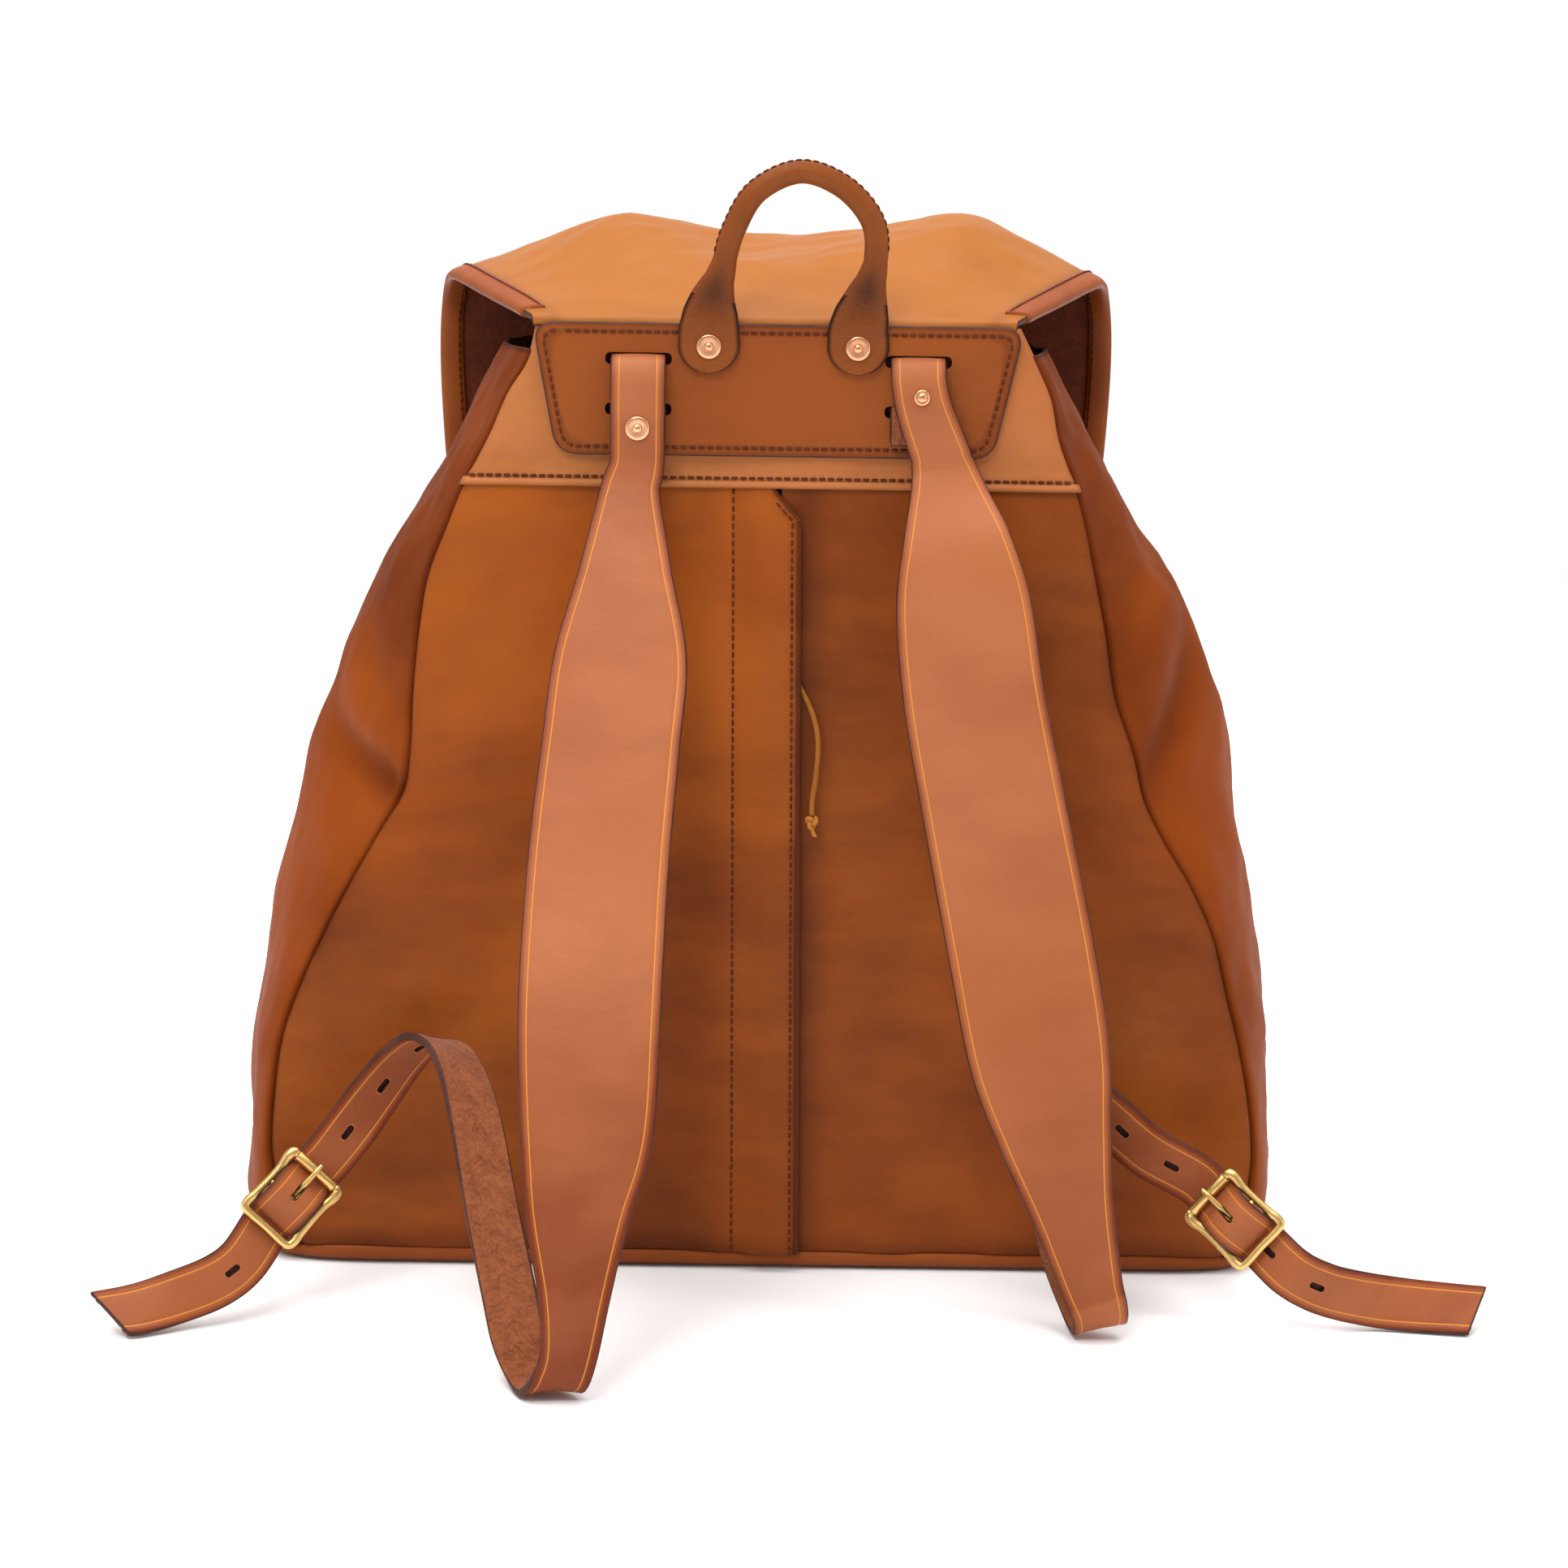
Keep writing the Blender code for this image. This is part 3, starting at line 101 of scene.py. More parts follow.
LACE_ROUTE = [(0, -2.35, 291), (3.5, -2.3, 281), (9, -1.9, 269), (14.5, -1.9, 260), (18.6, -3.4, 251),
              (20.6, -6.0, 243), (20.8, -6.6, 234), (20, -5.6, 224), (18.8, -5, 215), (18.6, -5.0, 208)]

LOOP_ROUTE = [(-9.5, 366), (-9.5, 384), (-8.7, 395), (-5.4, 402), (0, 404), (3.5, 403.2), (5.8, 399),
              (6.0, 390), (4.4, 384.5), (1.2, 383), (-2, 382.6), (-4.6, 381), (-5.6, 377.5), (-5.7, 369)]
# x, depth, height, width, then the direction of the strap's width
MAIN = { "left": [ (-57, -9.6, 364.8, 22, 1, 0, 0), (-57.1, -9.8, 361, 22, 1, 0, 0),
                  (-57.8, -11, 356.5, 22.5, 1, 0, 0), (-60, -15, 347, 25, 1, 0, 0),
                  (-61, -32, 318, 38, 1, 0, 0), (-62, -50, 286, 54, 1, 0, 0), (-65, -68, 254, 56, 1, 0, 0),
                  (-69, -95, 208, 57, 1, 0, 0), (-71, -125, 155, 57, 1, 0, 0),
                  (-71, -146, 111, 53, 1, 0, 0), (-74, -156, 80, 42, 1, 0, 0), (-75, -163, 45, 28, 1, 0, 0),
                  (-77, -165, 22, 22.5, 1, 0, 0), (-81, -162.5, 9, 22, 1, 0, 0),
                  (-87, -154.5, 4.4, 22, 0.97, 0.1, 0.08), (-93, -146, 9.6, 22, 0.95, 0, 0.28),
                  (-99, -138, 19.5, 21.5, 0.95, 0, 0.28), (-104, -122, 33, 21.5, 1, 0, 0.1),
                  (-113, -96, 60, 21.5, 0.97, 0.22, 0), (-121, -70, 87, 21.5, 0.9, 0.4, 0),
                  (-128, -53, 103.5, 21.5, 0.8, 0.55, -0.15), (-136, -41, 112.5, 21.5, 0.72, 0.65, -0.25),
                  (-146, -32.5, 112, 21.5, 0.68, 0.62, -0.38), (-156, -30.5, 103, 21.5, 0.69, 0.5, -0.52),
                  (-166.5, -35.5, 90, 21.5, 0.72, 0.22, -0.62), (-176, -42, 77.5, 21.5, 0.738, 0, -0.669)],
        "right": [ (70.5, -9.6, 363.8, 24.5, 1, 0, 0), (71.2, -9.7, 361, 25.5, 1, 0, 0),
                  (72.2, -11, 357, 27.5, 1, 0, 0), (74, -16, 349, 32.5, 1, 0, 0),
                  (77, -30, 333, 44, 1, 0, 0.03), (80, -39, 308, 55, 1, 0, 0.06),
                  (85, -47, 270, 58, 1, 0, 0.14), (94, -57, 225, 59, 1, 0, 0.17),
                  (106, -68, 168, 60, 1, 0, 0.15), (115, -77, 122, 58, 1, 0, 0.12),
                  (122, -82, 90, 47, 1, 0, 0.05), (130, -86, 58, 34, 1, 0, 0.1),
                  (138, -88, 28, 26, 1, 0, 0.18), (142.5, -87.5, 14, 23, 0.95, 0, 0.28),
                  (142.5, -81, 6.4, 22, 0.96, -0.1, 0.22), (138, -72, 12, 21.5, 0.93, -0.3, 0.15),
                  (129.5, -60, 31, 21.5, 0.9, -0.4, 0.1), (123, -48, 56, 21.5, 0.8, -0.6, 0.15),
                  (123, -38.5, 78, 21.5, 0.65, -0.7, 0.3), (128.5, -32.5, 90, 21.5, 0.55, -0.6, 0.55),
                  (138, -31, 90.5, 21.5, 0.5, -0.3, 0.75), (148, -32.5, 82.5, 21.5, 0.5, -0.05, 0.85),
                  (157, -35.5, 75, 21.5, 0.52, 0.02, 0.85), (167, -39.5, 68.2, 21.5, 0.58, 0.02, 0.81)]}
BUCKLES = {"left": ((-200.5, -61, 50.5), (-0.647, -0.353, -0.676), (0.738, -0.072, -0.669)),
           "right": ((201, -60, 46.5), (0.704, -0.394, -0.591), (0.655, 0.03, 0.755))}
ANCHORS = {"left": (-198, -6, 14), "right": (196, -6, 13)}
THROUGH_BUCKLE = [(-25, -5.6), (-21, -5.4), (-16, -5.0), (-9.5, -1.0), (-4.8, 4.6), (0, 6.8), (4.8, 4.8),
                  (9.5, -0.1), (15.0, -4.7)]
TAILS = {"left": [(-220, -72.5, 26.5, 21, 0.78, 0, -0.62), (-231, -77, 18.8, 21.5, 0.82, -0.05, -0.56),
                  (-248, -82, 13, 21.5, 0.82, -0.15, -0.55), (-263, -88, 9.9, 21.5, 0.76, -0.3, -0.55),
                  (-279, -93.5, 8.8, 21.5, 0.7, -0.46, -0.55)],
         "right": [(224, -70, 27.5, 21, 0.67, 0.05, 0.74), (236, -69, 20.5, 21.5, 0.7, 0.15, 0.69),
                   (250, -66, 15.4, 21.5, 0.72, 0.24, 0.63), (273, -63, 10.8, 21.5, 0.7, 0.34, 0.6),
                   (308, -66, 9.2, 21.5, 0.66, 0.48, 0.57)]}
# depth, height in the middle, height at the side edge, half width
LID = [(1.6, 419.5, 419.5, 102), (22, 428, 420.5, 109), (52, 438, 421, 119), (86, 446.5, 421.5, 130),
       (118, 450.5, 422, 140), (140, 449, 421.5, 146.5), (155, 442, 416.5, 149.5), (164, 430, 407, 151),
       (167.5, 410, 392, 152), (169, 385, 374, 152), (169, 350, 352, 151), (167.5, 305, 322, 149)]
# how the lid's top rises across its width, where 1 is the full rise
CROWN = [(-1, 0), (-0.76, 0.5), (-0.48, 0.95), (-0.31, 0.84), (-0.12, 0.68), (0.14, 0.7), (0.41, 0.93),
         (0.585, 1.05), (0.76, 0.66), (1, 0)]


# ---------------------------------------------------------------- curves and noise
def table(points, x):
    """A smooth curve through (x, y) rows, clamped at its ends, read at every x of an array."""
    xs, ys = np.array(points, float).T
    slopes = np.gradient(ys, xs)
    x = np.clip(x, xs[0], xs[-1])
    i = np.clip(np.searchsorted(xs, x) - 1, 0, len(xs) - 2)
    h = xs[i + 1] - xs[i]
    t = (x - xs[i]) / h
    return ((2 * t**3 - 3 * t**2 + 1) * ys[i] + (t**3 - 2 * t**2 + t) * h * slopes[i]
            + (3 * t**2 - 2 * t**3) * ys[i + 1] + (t**3 - t**2) * h * slopes[i + 1])


def route(points, count):
    """count rows spaced evenly in length on a Catmull-Rom curve through rows of numbers."""
    p = np.array(points, float)
    padded = np.vstack([p[:1], p, p[-1:]])
    t = np.linspace(0, 1, 16, endpoint=False)[:, None]
    parts = []
    for i in range(len(p) - 1):
        a, b, c, d = padded[i:i + 4]
        parts.append(0.5 * (2 * b + (c - a) * t + (2 * a - 5 * b + 4 * c - d) * t**2 + (3 * b - a - 3 * c
                                                                                        + d) * t**3))
    dense = np.vstack(parts + [p[-1:]])
    along = travelled(dense[:, :3])
    at = np.linspace(0, along[-1], count)
    return np.stack([np.interp(at, along, dense[:, k]) for k in range(p.shape[1])], axis=1)


def unit(v):
    return v / np.maximum(np.linalg.norm(v, axis=-1, keepdims=True), 1e-12)


def turns(count):
    return np.linspace(0, 2 * np.pi, count, endpoint=False)


def travelled(points):
    """The length along a line of points, at each of them."""
    return np.concatenate([[0], np.cumsum(np.linalg.norm(np.diff(points, axis=0), axis=1))])


def ripple(u, v, size, seed):
    """Repeatable smooth noise of about -1 to 1 with features of the given size."""
    rng = np.random.default_rng(seed)
    total = np.zeros(np.broadcast(u, v).shape)
    for octave in range(3):
        for _ in range(5):
            angle, phase = rng.uniform(0, 2 * np.pi, 2)
            wave = rng.uniform(0.7, 1.4) * 2 * np.pi * 1.9**octave / size
            total += np.sin((u * np.cos(angle) + v * np.sin(angle)) * wave + phase) * 0.5**octave / 3.2
    return total


def bell(x, centre, width):
    return np.exp(-((x - centre) / width) ** 2)


def ease(x, start, end):
    """0 before start, 1 after end, smooth between."""
    t = np.clip((x - start) / (end - start), 0, 1)
    return t * t * (3 - 2 * t)


def dense_ends(count, share=0.6):
    """0 to 1, closer together towards both ends."""
    k = np.linspace(0, 1, count)
    return (1 - share) * k + share * (0.5 - 0.5 * np.cos(np.pi * k))


# ---------------------------------------------------------------- materials
def add_node(tree, kind, **settings):
    node = tree.nodes.new(kind)
    for name, value in settings.items():
        setattr(node, name, value)
    return node


def math_node(tree, operation, a, b=None, clamp=False):
    node = add_node(tree, "ShaderNodeMath", operation=operation, use_clamp=clamp)
    for socket, value in zip(node.inputs, (a, b)):
        if value is None:
            continue
        if isinstance(value, (int, float)):
            socket.default_value = value
        else:
            tree.links.new(value, socket)
    return node.outputs[0]


def plus(tree, a, b, clamp=False):
    return math_node(tree, "ADD", a, b, clamp)


def minus(tree, a, b):
    return math_node(tree, "SUBTRACT", a, b)


def times(tree, a, b):
    return math_node(tree, "MULTIPLY", a, b)


def set_inputs(node, values):
    for socket, value in values.items():
        node.inputs[socket].default_value = value


def noise_node(tree, vector, scale, detail=2.0, roughness=0.5):
    node = add_node(tree, "ShaderNodeTexNoise")
    tree.links.new(vector, node.inputs["Vector"])
    set_inputs(node, {"Scale": scale, "Detail": detail, "Roughness": roughness})
    return node.outputs["Fac"]


def band_node(tree, value, low, high, from_value=0.0, to_value=1.0):
    node = add_node(tree, "ShaderNodeMapRange", interpolation_type="SMOOTHSTEP")
    tree.links.new(value, node.inputs["Value"])
    set_inputs(node, {"From Min": low, "From Max": high, "To Min": from_value, "To Max": to_value})
    return node.outputs["Result"]


def mix_node(tree, factor, first, second):
    node = add_node(tree, "ShaderNodeMix", data_type="RGBA")
    tree.links.new(factor, node.inputs["Factor"])
    for socket, value in ((node.inputs[6], first), (node.inputs[7], second)):
        if isinstance(value, tuple):
            socket.default_value = (*value, 1)
        else:
            tree.links.new(value, socket)
    return node.outputs[2]


def start_material(name):
    made = bpy.data.materials.new(name)
    made.use_nodes = True
    return made, made.node_tree, made.node_tree.nodes["Principled BSDF"]


def surface(tree, shader, colour, height, strength, depth, values):
    """Links a colour and a bump, depth in metres, and sets the shader's plain values."""
    tree.links.new(colour, shader.inputs["Base Color"])
    bump = add_node(tree, "ShaderNodeBump")
    set_inputs(bump, {"Strength": strength, "Distance": depth})
    tree.links.new(height, bump.inputs["Height"])
    tree.links.new(bump.outputs["Normal"], shader.inputs["Normal"])
    set_inputs(shader, values)


def stretched_uv(tree, across, along):
    uv = add_node(tree, "ShaderNodeUVMap")
    mapping = add_node(tree, "ShaderNodeMapping")
    tree.links.new(uv.outputs[0], mapping.inputs["Vector"])
    mapping.inputs["Scale"].default_value = (across, along, 1)
    return mapping.outputs[0]


def leather(name, base, dark, warm, roughness=0.42, mottle=0.9, crease=None, seam=None, shine=0.12):
    """Smooth vegetable-tanned leather. edge and tone are the mesh's own numbers: the distance from the cut
    edge in millimetres, and how much darker the colour is drawn there, which is painted shade in folds, at
    seams, under laps and near the floor, along with other darker areas."""
    made, tree, shader = start_material(name)
    flat = stretched_uv(tree, 1, 1)
    drawn = stretched_uv(tree, 0.35, 1)
    cloud = noise_node(tree, flat, 11, 3)
    patch = noise_node(tree, drawn, 42, 4, 0.6)
    fibre = noise_node(tree, drawn, 420, 3, 0.6)
    pores = noise_node(tree, flat, 1500, 2)
    edge = add_node(tree, "ShaderNodeAttribute", attribute_name="edge").outputs["Fac"]
    tone = add_node(tree, "ShaderNodeAttribute", attribute_name="tone").outputs["Fac"]
    burnt = band_node(tree, edge, 0.2, 2.4, 0.6, 0.0)
    clouds, patches, specks = (times(tree, minus(tree, noise, 0.5), share) for noise, share in (
        (cloud, mottle), (patch, mottle * 0.55), (pores, 0.35)))
    shade = plus(tree, plus(tree, clouds, patches), plus(tree, specks, burnt))
    # the tone number adds painted shade and other darkening on top of the mottling
    shade = plus(tree, shade, tone, clamp=True)
    warmth = band_node(tree, noise_node(tree, flat, 7, 2), 0.35, 0.7)
    colour = mix_node(tree, warmth, base, warm)
    colour = mix_node(tree, shade, colour, dark)
    relief = plus(tree, times(tree, fibre, 0.55), times(tree, pores, 0.35))
    relief = plus(tree, relief, times(tree, patch, 0.5))
    if crease:
        away = math_node(tree, "ABSOLUTE", minus(tree, edge, 3.1))
        line = band_node(tree, away, 0.08, 0.42, 0.85, 0.0)
        colour = mix_node(tree, line, colour, crease)
    if seam:
        away = math_node(tree, "ABSOLUTE", minus(tree, edge, seam))
        groove = band_node(tree, away, 0.3, 1.6, 1.0, 0.0)
        relief = minus(tree, relief, times(tree, groove, 1.1))
        colour = mix_node(tree, times(tree, groove, 0.35), colour, dark)
    tree.links.new(plus(tree, times(tree, patch, 0.16), roughness - 0.08), shader.inputs["Roughness"])
    surface(tree, shader, colour, relief, 0.55, 0.0004, {"Specular IOR Level": shine})
    return made


def suede(name, base, dark, scale=650):
    """The flesh side: matt, fibrous and speckled."""
    made, tree, shader = start_material(name)
    flat = stretched_uv(tree, 1, 1)
    fuzz = noise_node(tree, flat, scale, 5, 0.75)
    fleck = noise_node(tree, flat, scale * 0.22, 4, 0.7)
    mixed = plus(tree, times(tree, fuzz, 0.6), times(tree, fleck, 0.4))
    colour = mix_node(tree, band_node(tree, mixed, 0.36, 0.64), dark, base)
    surface(tree, shader, colour, fuzz, 0.8, 0.0006,
            {"Roughness": 0.92, "Specular IOR Level": 0.2, "Sheen Weight": 0.15})
    return made


def simple(name, base, other, roughness, metallic=0.0, scale=300, bump_depth=0.00015):
    """One colour broken up by fine noise, for metal, thread, edges and tape."""
    made, tree, shader = start_material(name)
    place = add_node(tree, "ShaderNodeTexCoord").outputs["Object"]
    fine = noise_node(tree, place, scale, 4, 0.6)
    broad = noise_node(tree, place, scale / 12, 3)
    colour = mix_node(tree, band_node(tree, broad, 0.3, 0.7), base, other)
    tree.links.new(plus(tree, times(tree, fine, 0.18), roughness - 0.09), shader.inputs["Roughness"])
    surface(tree, shader, colour, fine, 0.4, bump_depth,
            {"Metallic": metallic, "Specular IOR Level": 0.5 if metallic else 0.12})
    return made


# plain, dark and warm colour, roughness, and what else sets the leather apart
LEATHERS = {
    "body": ((0.228, 0.050, 0.006), (0.091, 0.016, 0.002), (0.258, 0.060, 0.007), 0.46, {}),
    "back": ((0.290, 0.062, 0.005), (0.074, 0.012, 0.001), (0.340, 0.082, 0.008), 0.46, {"mottle": 1.15}),
    "gusset": ((0.195, 0.037, 0.004), (0.070, 0.010, 0.001), (0.250, 0.052, 0.006), 0.55, {"shine": 0.04}),
    "lid": ((0.300, 0.096, 0.014), (0.165, 0.043, 0.005), (0.326, 0.108, 0.016), 0.42, {"mottle": 0.7}),
    "yoke": ((0.386, 0.123, 0.036), (0.168, 0.044, 0.010), (0.420, 0.145, 0.042), 0.44, {}),
    "patch": ((0.228, 0.052, 0.009), (0.085, 0.016, 0.003), (0.262, 0.064, 0.011), 0.42, {"seam": 3.0}),
    "strap": ((0.362, 0.118, 0.047), (0.150, 0.025, 0.006), (0.315, 0.091, 0.030), 0.42,
              {"crease": (0.62, 0.22, 0.03)}),
    "handle": ((0.270, 0.068, 0.013), (0.020, 0.004, 0.001), (0.300, 0.078, 0.015), 0.4, {}),
    "binding": ((0.232, 0.051, 0.009), (0.090, 0.017, 0.003), (0.270, 0.064, 0.010), 0.42, {}),
    "chape": ((0.090, 0.020, 0.006), (0.030, 0.006, 0.003), (0.108, 0.025, 0.007), 0.42, {}),
    "lace": ((0.42, 0.15, 0.025), (0.24, 0.075, 0.010), (0.47, 0.18, 0.029), 0.6, {})}


def make_looks():
    looks = {word: leather(word + "_leather", *row, **more) for word, (*row, more) in LEATHERS.items()}
    looks |= {
        "suede": suede("flesh_side", (0.302, 0.087, 0.026), (0.143, 0.035, 0.010)),
        "lining": suede("lid_flesh_side", (0.116, 0.017, 0.001), (0.058, 0.008, 0.001), 380),
        "edge": simple("cut_edge", (0.075, 0.026, 0.018), (0.045, 0.016, 0.012), 0.5, scale=900),
        "thread": simple("thread", (0.10, 0.022, 0.006), (0.07, 0.014, 0.005), 0.6, scale=1800),
        "brass": simple("brass", (0.74, 0.48, 0.17), (0.62, 0.39, 0.13), 0.34, 1.0, scale=500,
                        bump_depth=0.00004),
        "copper": simple("copper", (0.86, 0.44, 0.24), (0.76, 0.36, 0.19), 0.3, 1.0, scale=500,
                         bump_depth=0.00005),
        "tape": simple("zip_tape", (0.03, 0.018, 0.012), (0.045, 0.028, 0.02), 0.9, scale=1400,
                       bump_depth=0.0003),
        "cord": simple("core_cord", (0.55, 0.45, 0.3), (0.4, 0.32, 0.2), 0.9, scale=900, bump_depth=0.0004),
    }
    return looks


def layers(looks, word):
    """A leather's grain side, flesh side and cut edge."""
    return [looks[word], looks["suede"], looks["edge"]]


# ---------------------------------------------------------------- meshes
def make_object(name, verts, faces, looks, indices=None, uv=None, edge=None, tone=None):
    """A smooth-shaded object from arrays in millimetres, with its edge and tone numbers."""
    mesh = bpy.data.meshes.new(name)
    mesh.from_pydata((np.asarray(verts, float) * MM).tolist(), [], [tuple(int(i) for i in f)
                                                                    for f in faces])
    for look in looks:
        mesh.materials.append(look)
    if indices is not None:
        mesh.polygons.foreach_set("material_index", np.asarray(indices, np.int32))
    count = len(mesh.vertices)
    uv = np.asarray(verts, float)[:, [0, 2]] if uv is None else uv
    corners = np.zeros(len(mesh.loops), np.int32)
    mesh.loops.foreach_get("vertex_index", corners)
    layer = mesh.uv_layers.new(name="metres")
    layer.data.foreach_set("uv", (uv[corners] * MM).astype(np.float32).ravel())
    for label, values, plain in (("edge", edge, 30.0), ("tone", tone, 0.0)):
        attribute = mesh.attributes.new(label, "FLOAT", "POINT")
        filled = np.full(count, plain) if values is None else np.asarray(values, float)
        attribute.data.foreach_set("value", filled.astype(np.float32))
    mesh.shade_smooth()
    made = bpy.data.objects.new(name, mesh)
    bpy.context.scene.collection.objects.link(made)
    return made


def grid_normals(grid):
    return unit(np.cross(np.gradient(grid, axis=1), np.gradient(grid, axis=0)))


def grid_lengths(grid):
    """Distances of every point from the four sides of its grid, along the rows and columns."""
    across = np.linalg.norm(np.diff(grid, axis=1), axis=2)
    down = np.linalg.norm(np.diff(grid, axis=0), axis=2)
    left = np.concatenate([np.zeros((len(grid), 1)), np.cumsum(across, axis=1)], axis=1)
    top = np.concatenate([np.zeros((1, grid.shape[1])), np.cumsum(down, axis=0)], axis=0)
    return left, left[:, -1:] - left, top, top[-1:] - top


def leather_sheet(name, grid, thickness, looks, sides="lrtb", tone=None, round_out=0.6, edge=None):
    """A sheet with thickness and rounded edges. grid is the grain side, in millimetres. sides names those of
    its left, right, top and bottom that count as cut edges for the edge number."""
    rows, columns = grid.shape[:2]
    normals = grid_normals(grid)
    left, right, top, bottom = grid_lengths(grid)
    if edge is None:
        edge = np.full((rows, columns), 60.0)
        for word, distance in zip("lrtb", (left, right, top, bottom)):
            if word in sides:
                edge = np.minimum(edge, distance)
    back = grid - normals * thickness
    rim = [(0, c) for c in range(columns)] + [(r, columns - 1) for r in range(1, rows)]
    rim += [(rows - 1, c) for c in range(columns - 2, -1, -1)] + [(r, 0) for r in range(rows - 2, 0, -1)]
    rim = np.array(rim)
    inner = np.clip(rim, 1, [rows - 2, columns - 2])
    at, within = grid[rim[:, 0], rim[:, 1]], grid[inner[:, 0], inner[:, 1]]
    n = normals[rim[:, 0], rim[:, 1]]
    out = at - within
    out = unit(out - n * (out * n).sum(1, keepdims=True))
    middle, half = at - n * thickness / 2, thickness / 2
    rings = []
    for angle in np.radians([30, 60, 90, 120, 150]):
        rings.append(middle + n * half * math.cos(angle) + out * half * round_out * math.sin(angle))
    verts = np.vstack([grid.reshape(-1, 3), back.reshape(-1, 3)] + rings)
    size, loop = rows * columns, len(rim)
    index = np.arange(size).reshape(rows, columns)
    a, b, c, d = (index[:-1, :-1].ravel(), index[:-1, 1:].ravel(), index[1:, 1:].ravel(),
                  index[1:, :-1].ravel())
    faces = [np.stack([a, b, c, d], 1), np.stack([a, d, c, b], 1) + size]
    kinds = [np.zeros(len(a)), np.ones(len(a))]
    first = index[rim[:, 0], rim[:, 1]]
    chain = [first] + [2 * size + k * loop + np.arange(loop) for k in range(len(rings))] + [first + size]
    for upper, lower in zip(chain, chain[1:]):
        faces.append(np.stack([np.roll(upper, -1), upper, lower, np.roll(lower, -1)], 1))
        kinds.append(np.full(loop, 2.0))
    uv = np.stack([left + grid[:, :1, 0], top], axis=2).reshape(-1, 2)
    uv = np.vstack([uv, uv] + [uv[first]] * len(rings))
    flat_edge = np.concatenate([edge.ravel(), edge.ravel()] + [edge.ravel()[first]] * len(rings))
    shade = np.zeros(size) if tone is None else np.broadcast_to(tone, (rows, columns)).ravel()
    shade = np.concatenate([shade, shade] + [shade[first]] * len(rings))
    return make_object(name, verts, np.vstack(faces), looks, np.concatenate(kinds), uv, flat_edge, shade)


def ring_loft(name, rings, look, closed=False, edge=None, tone=None):
    """A solid through rings of points; closed joins the last ring to the first."""
    rings = np.asarray(rings, float)
    count, sides = rings.shape[:2]
    index = np.arange(count * sides).reshape(count, sides)
    upper = index if closed else index[:-1]
    lower = np.roll(index, -1, axis=0) if closed else index[1:]
    faces = [tuple(q) for q in np.stack([upper, np.roll(upper, -1, axis=1), np.roll(lower, -1, axis=1),
                                         lower], axis=2).reshape(-1, 4)]
    if not closed:
        faces += [tuple(index[0][::-1]), tuple(index[-1])]
    around = travelled(rings[count // 2])
    along = travelled(rings.mean(1))
    uv = np.stack(np.meshgrid(around, along), axis=2).reshape(-1, 2)
    made = make_object(name, rings.reshape(-1, 3), faces, [look], None, uv, None
                       if edge is None else np.asarray(edge).ravel(), None
                       if tone is None else np.asarray(tone).ravel())
    fix_normals(made)
    return made


def fix_normals(made):
    """Turns a closed mesh right side out."""
    mesh = made.data
    mesh.calc_loop_triangles()
    corners = np.array([[mesh.vertices[i].co for i in t.vertices] for t in mesh.loop_triangles], float)
    if np.linalg.det(corners - corners.mean((0, 1))).sum() < 0:
        mesh.flip_normals()


def axes_for(direction):
    along = unit(np.array(direction, float))
    other = np.array([0, 0, 1.0]) if abs(along[2]) < 0.9 else np.array([1.0, 0, 0])
    first = unit(np.cross(along, other))
    return along, first, np.cross(along, first)


def revolved(name, start, direction, profile, look, sides=40):
    """A turned solid: (distance, radius) pairs along direction."""
    along, first, second = axes_for(direction)
    angles = turns(sides)
    circle = np.cos(angles)[:, None] * first + np.sin(angles)[:, None] * second
    rings = [np.array(start, float) + along * distance + circle * radius for distance, radius in profile]
    return ring_loft(name, rings, look)


def tube(name, centre, direction, length, inner, outer, look, soft=0.35):
    """A plain tube with softened ends."""
    along, first, second = axes_for(direction)
    angles = turns(48)
    circle = np.cos(angles)[:, None] * first + np.sin(angles)[:, None] * second
    h = length / 2
    profile = [(-h + soft, inner), (-h, inner + soft), (-h, outer - soft),
               (-h + soft * 0.3, outer - soft * 0.3), (-h + soft, outer), (h - soft, outer),
               (h - soft * 0.3, outer - soft * 0.3), (h, outer - soft), (h, inner + soft),
               (h - soft, inner)]
    rings = [np.array(centre, float) + along * distance + circle * radius for distance, radius in profile]
    return ring_loft(name, rings, look, closed=True)


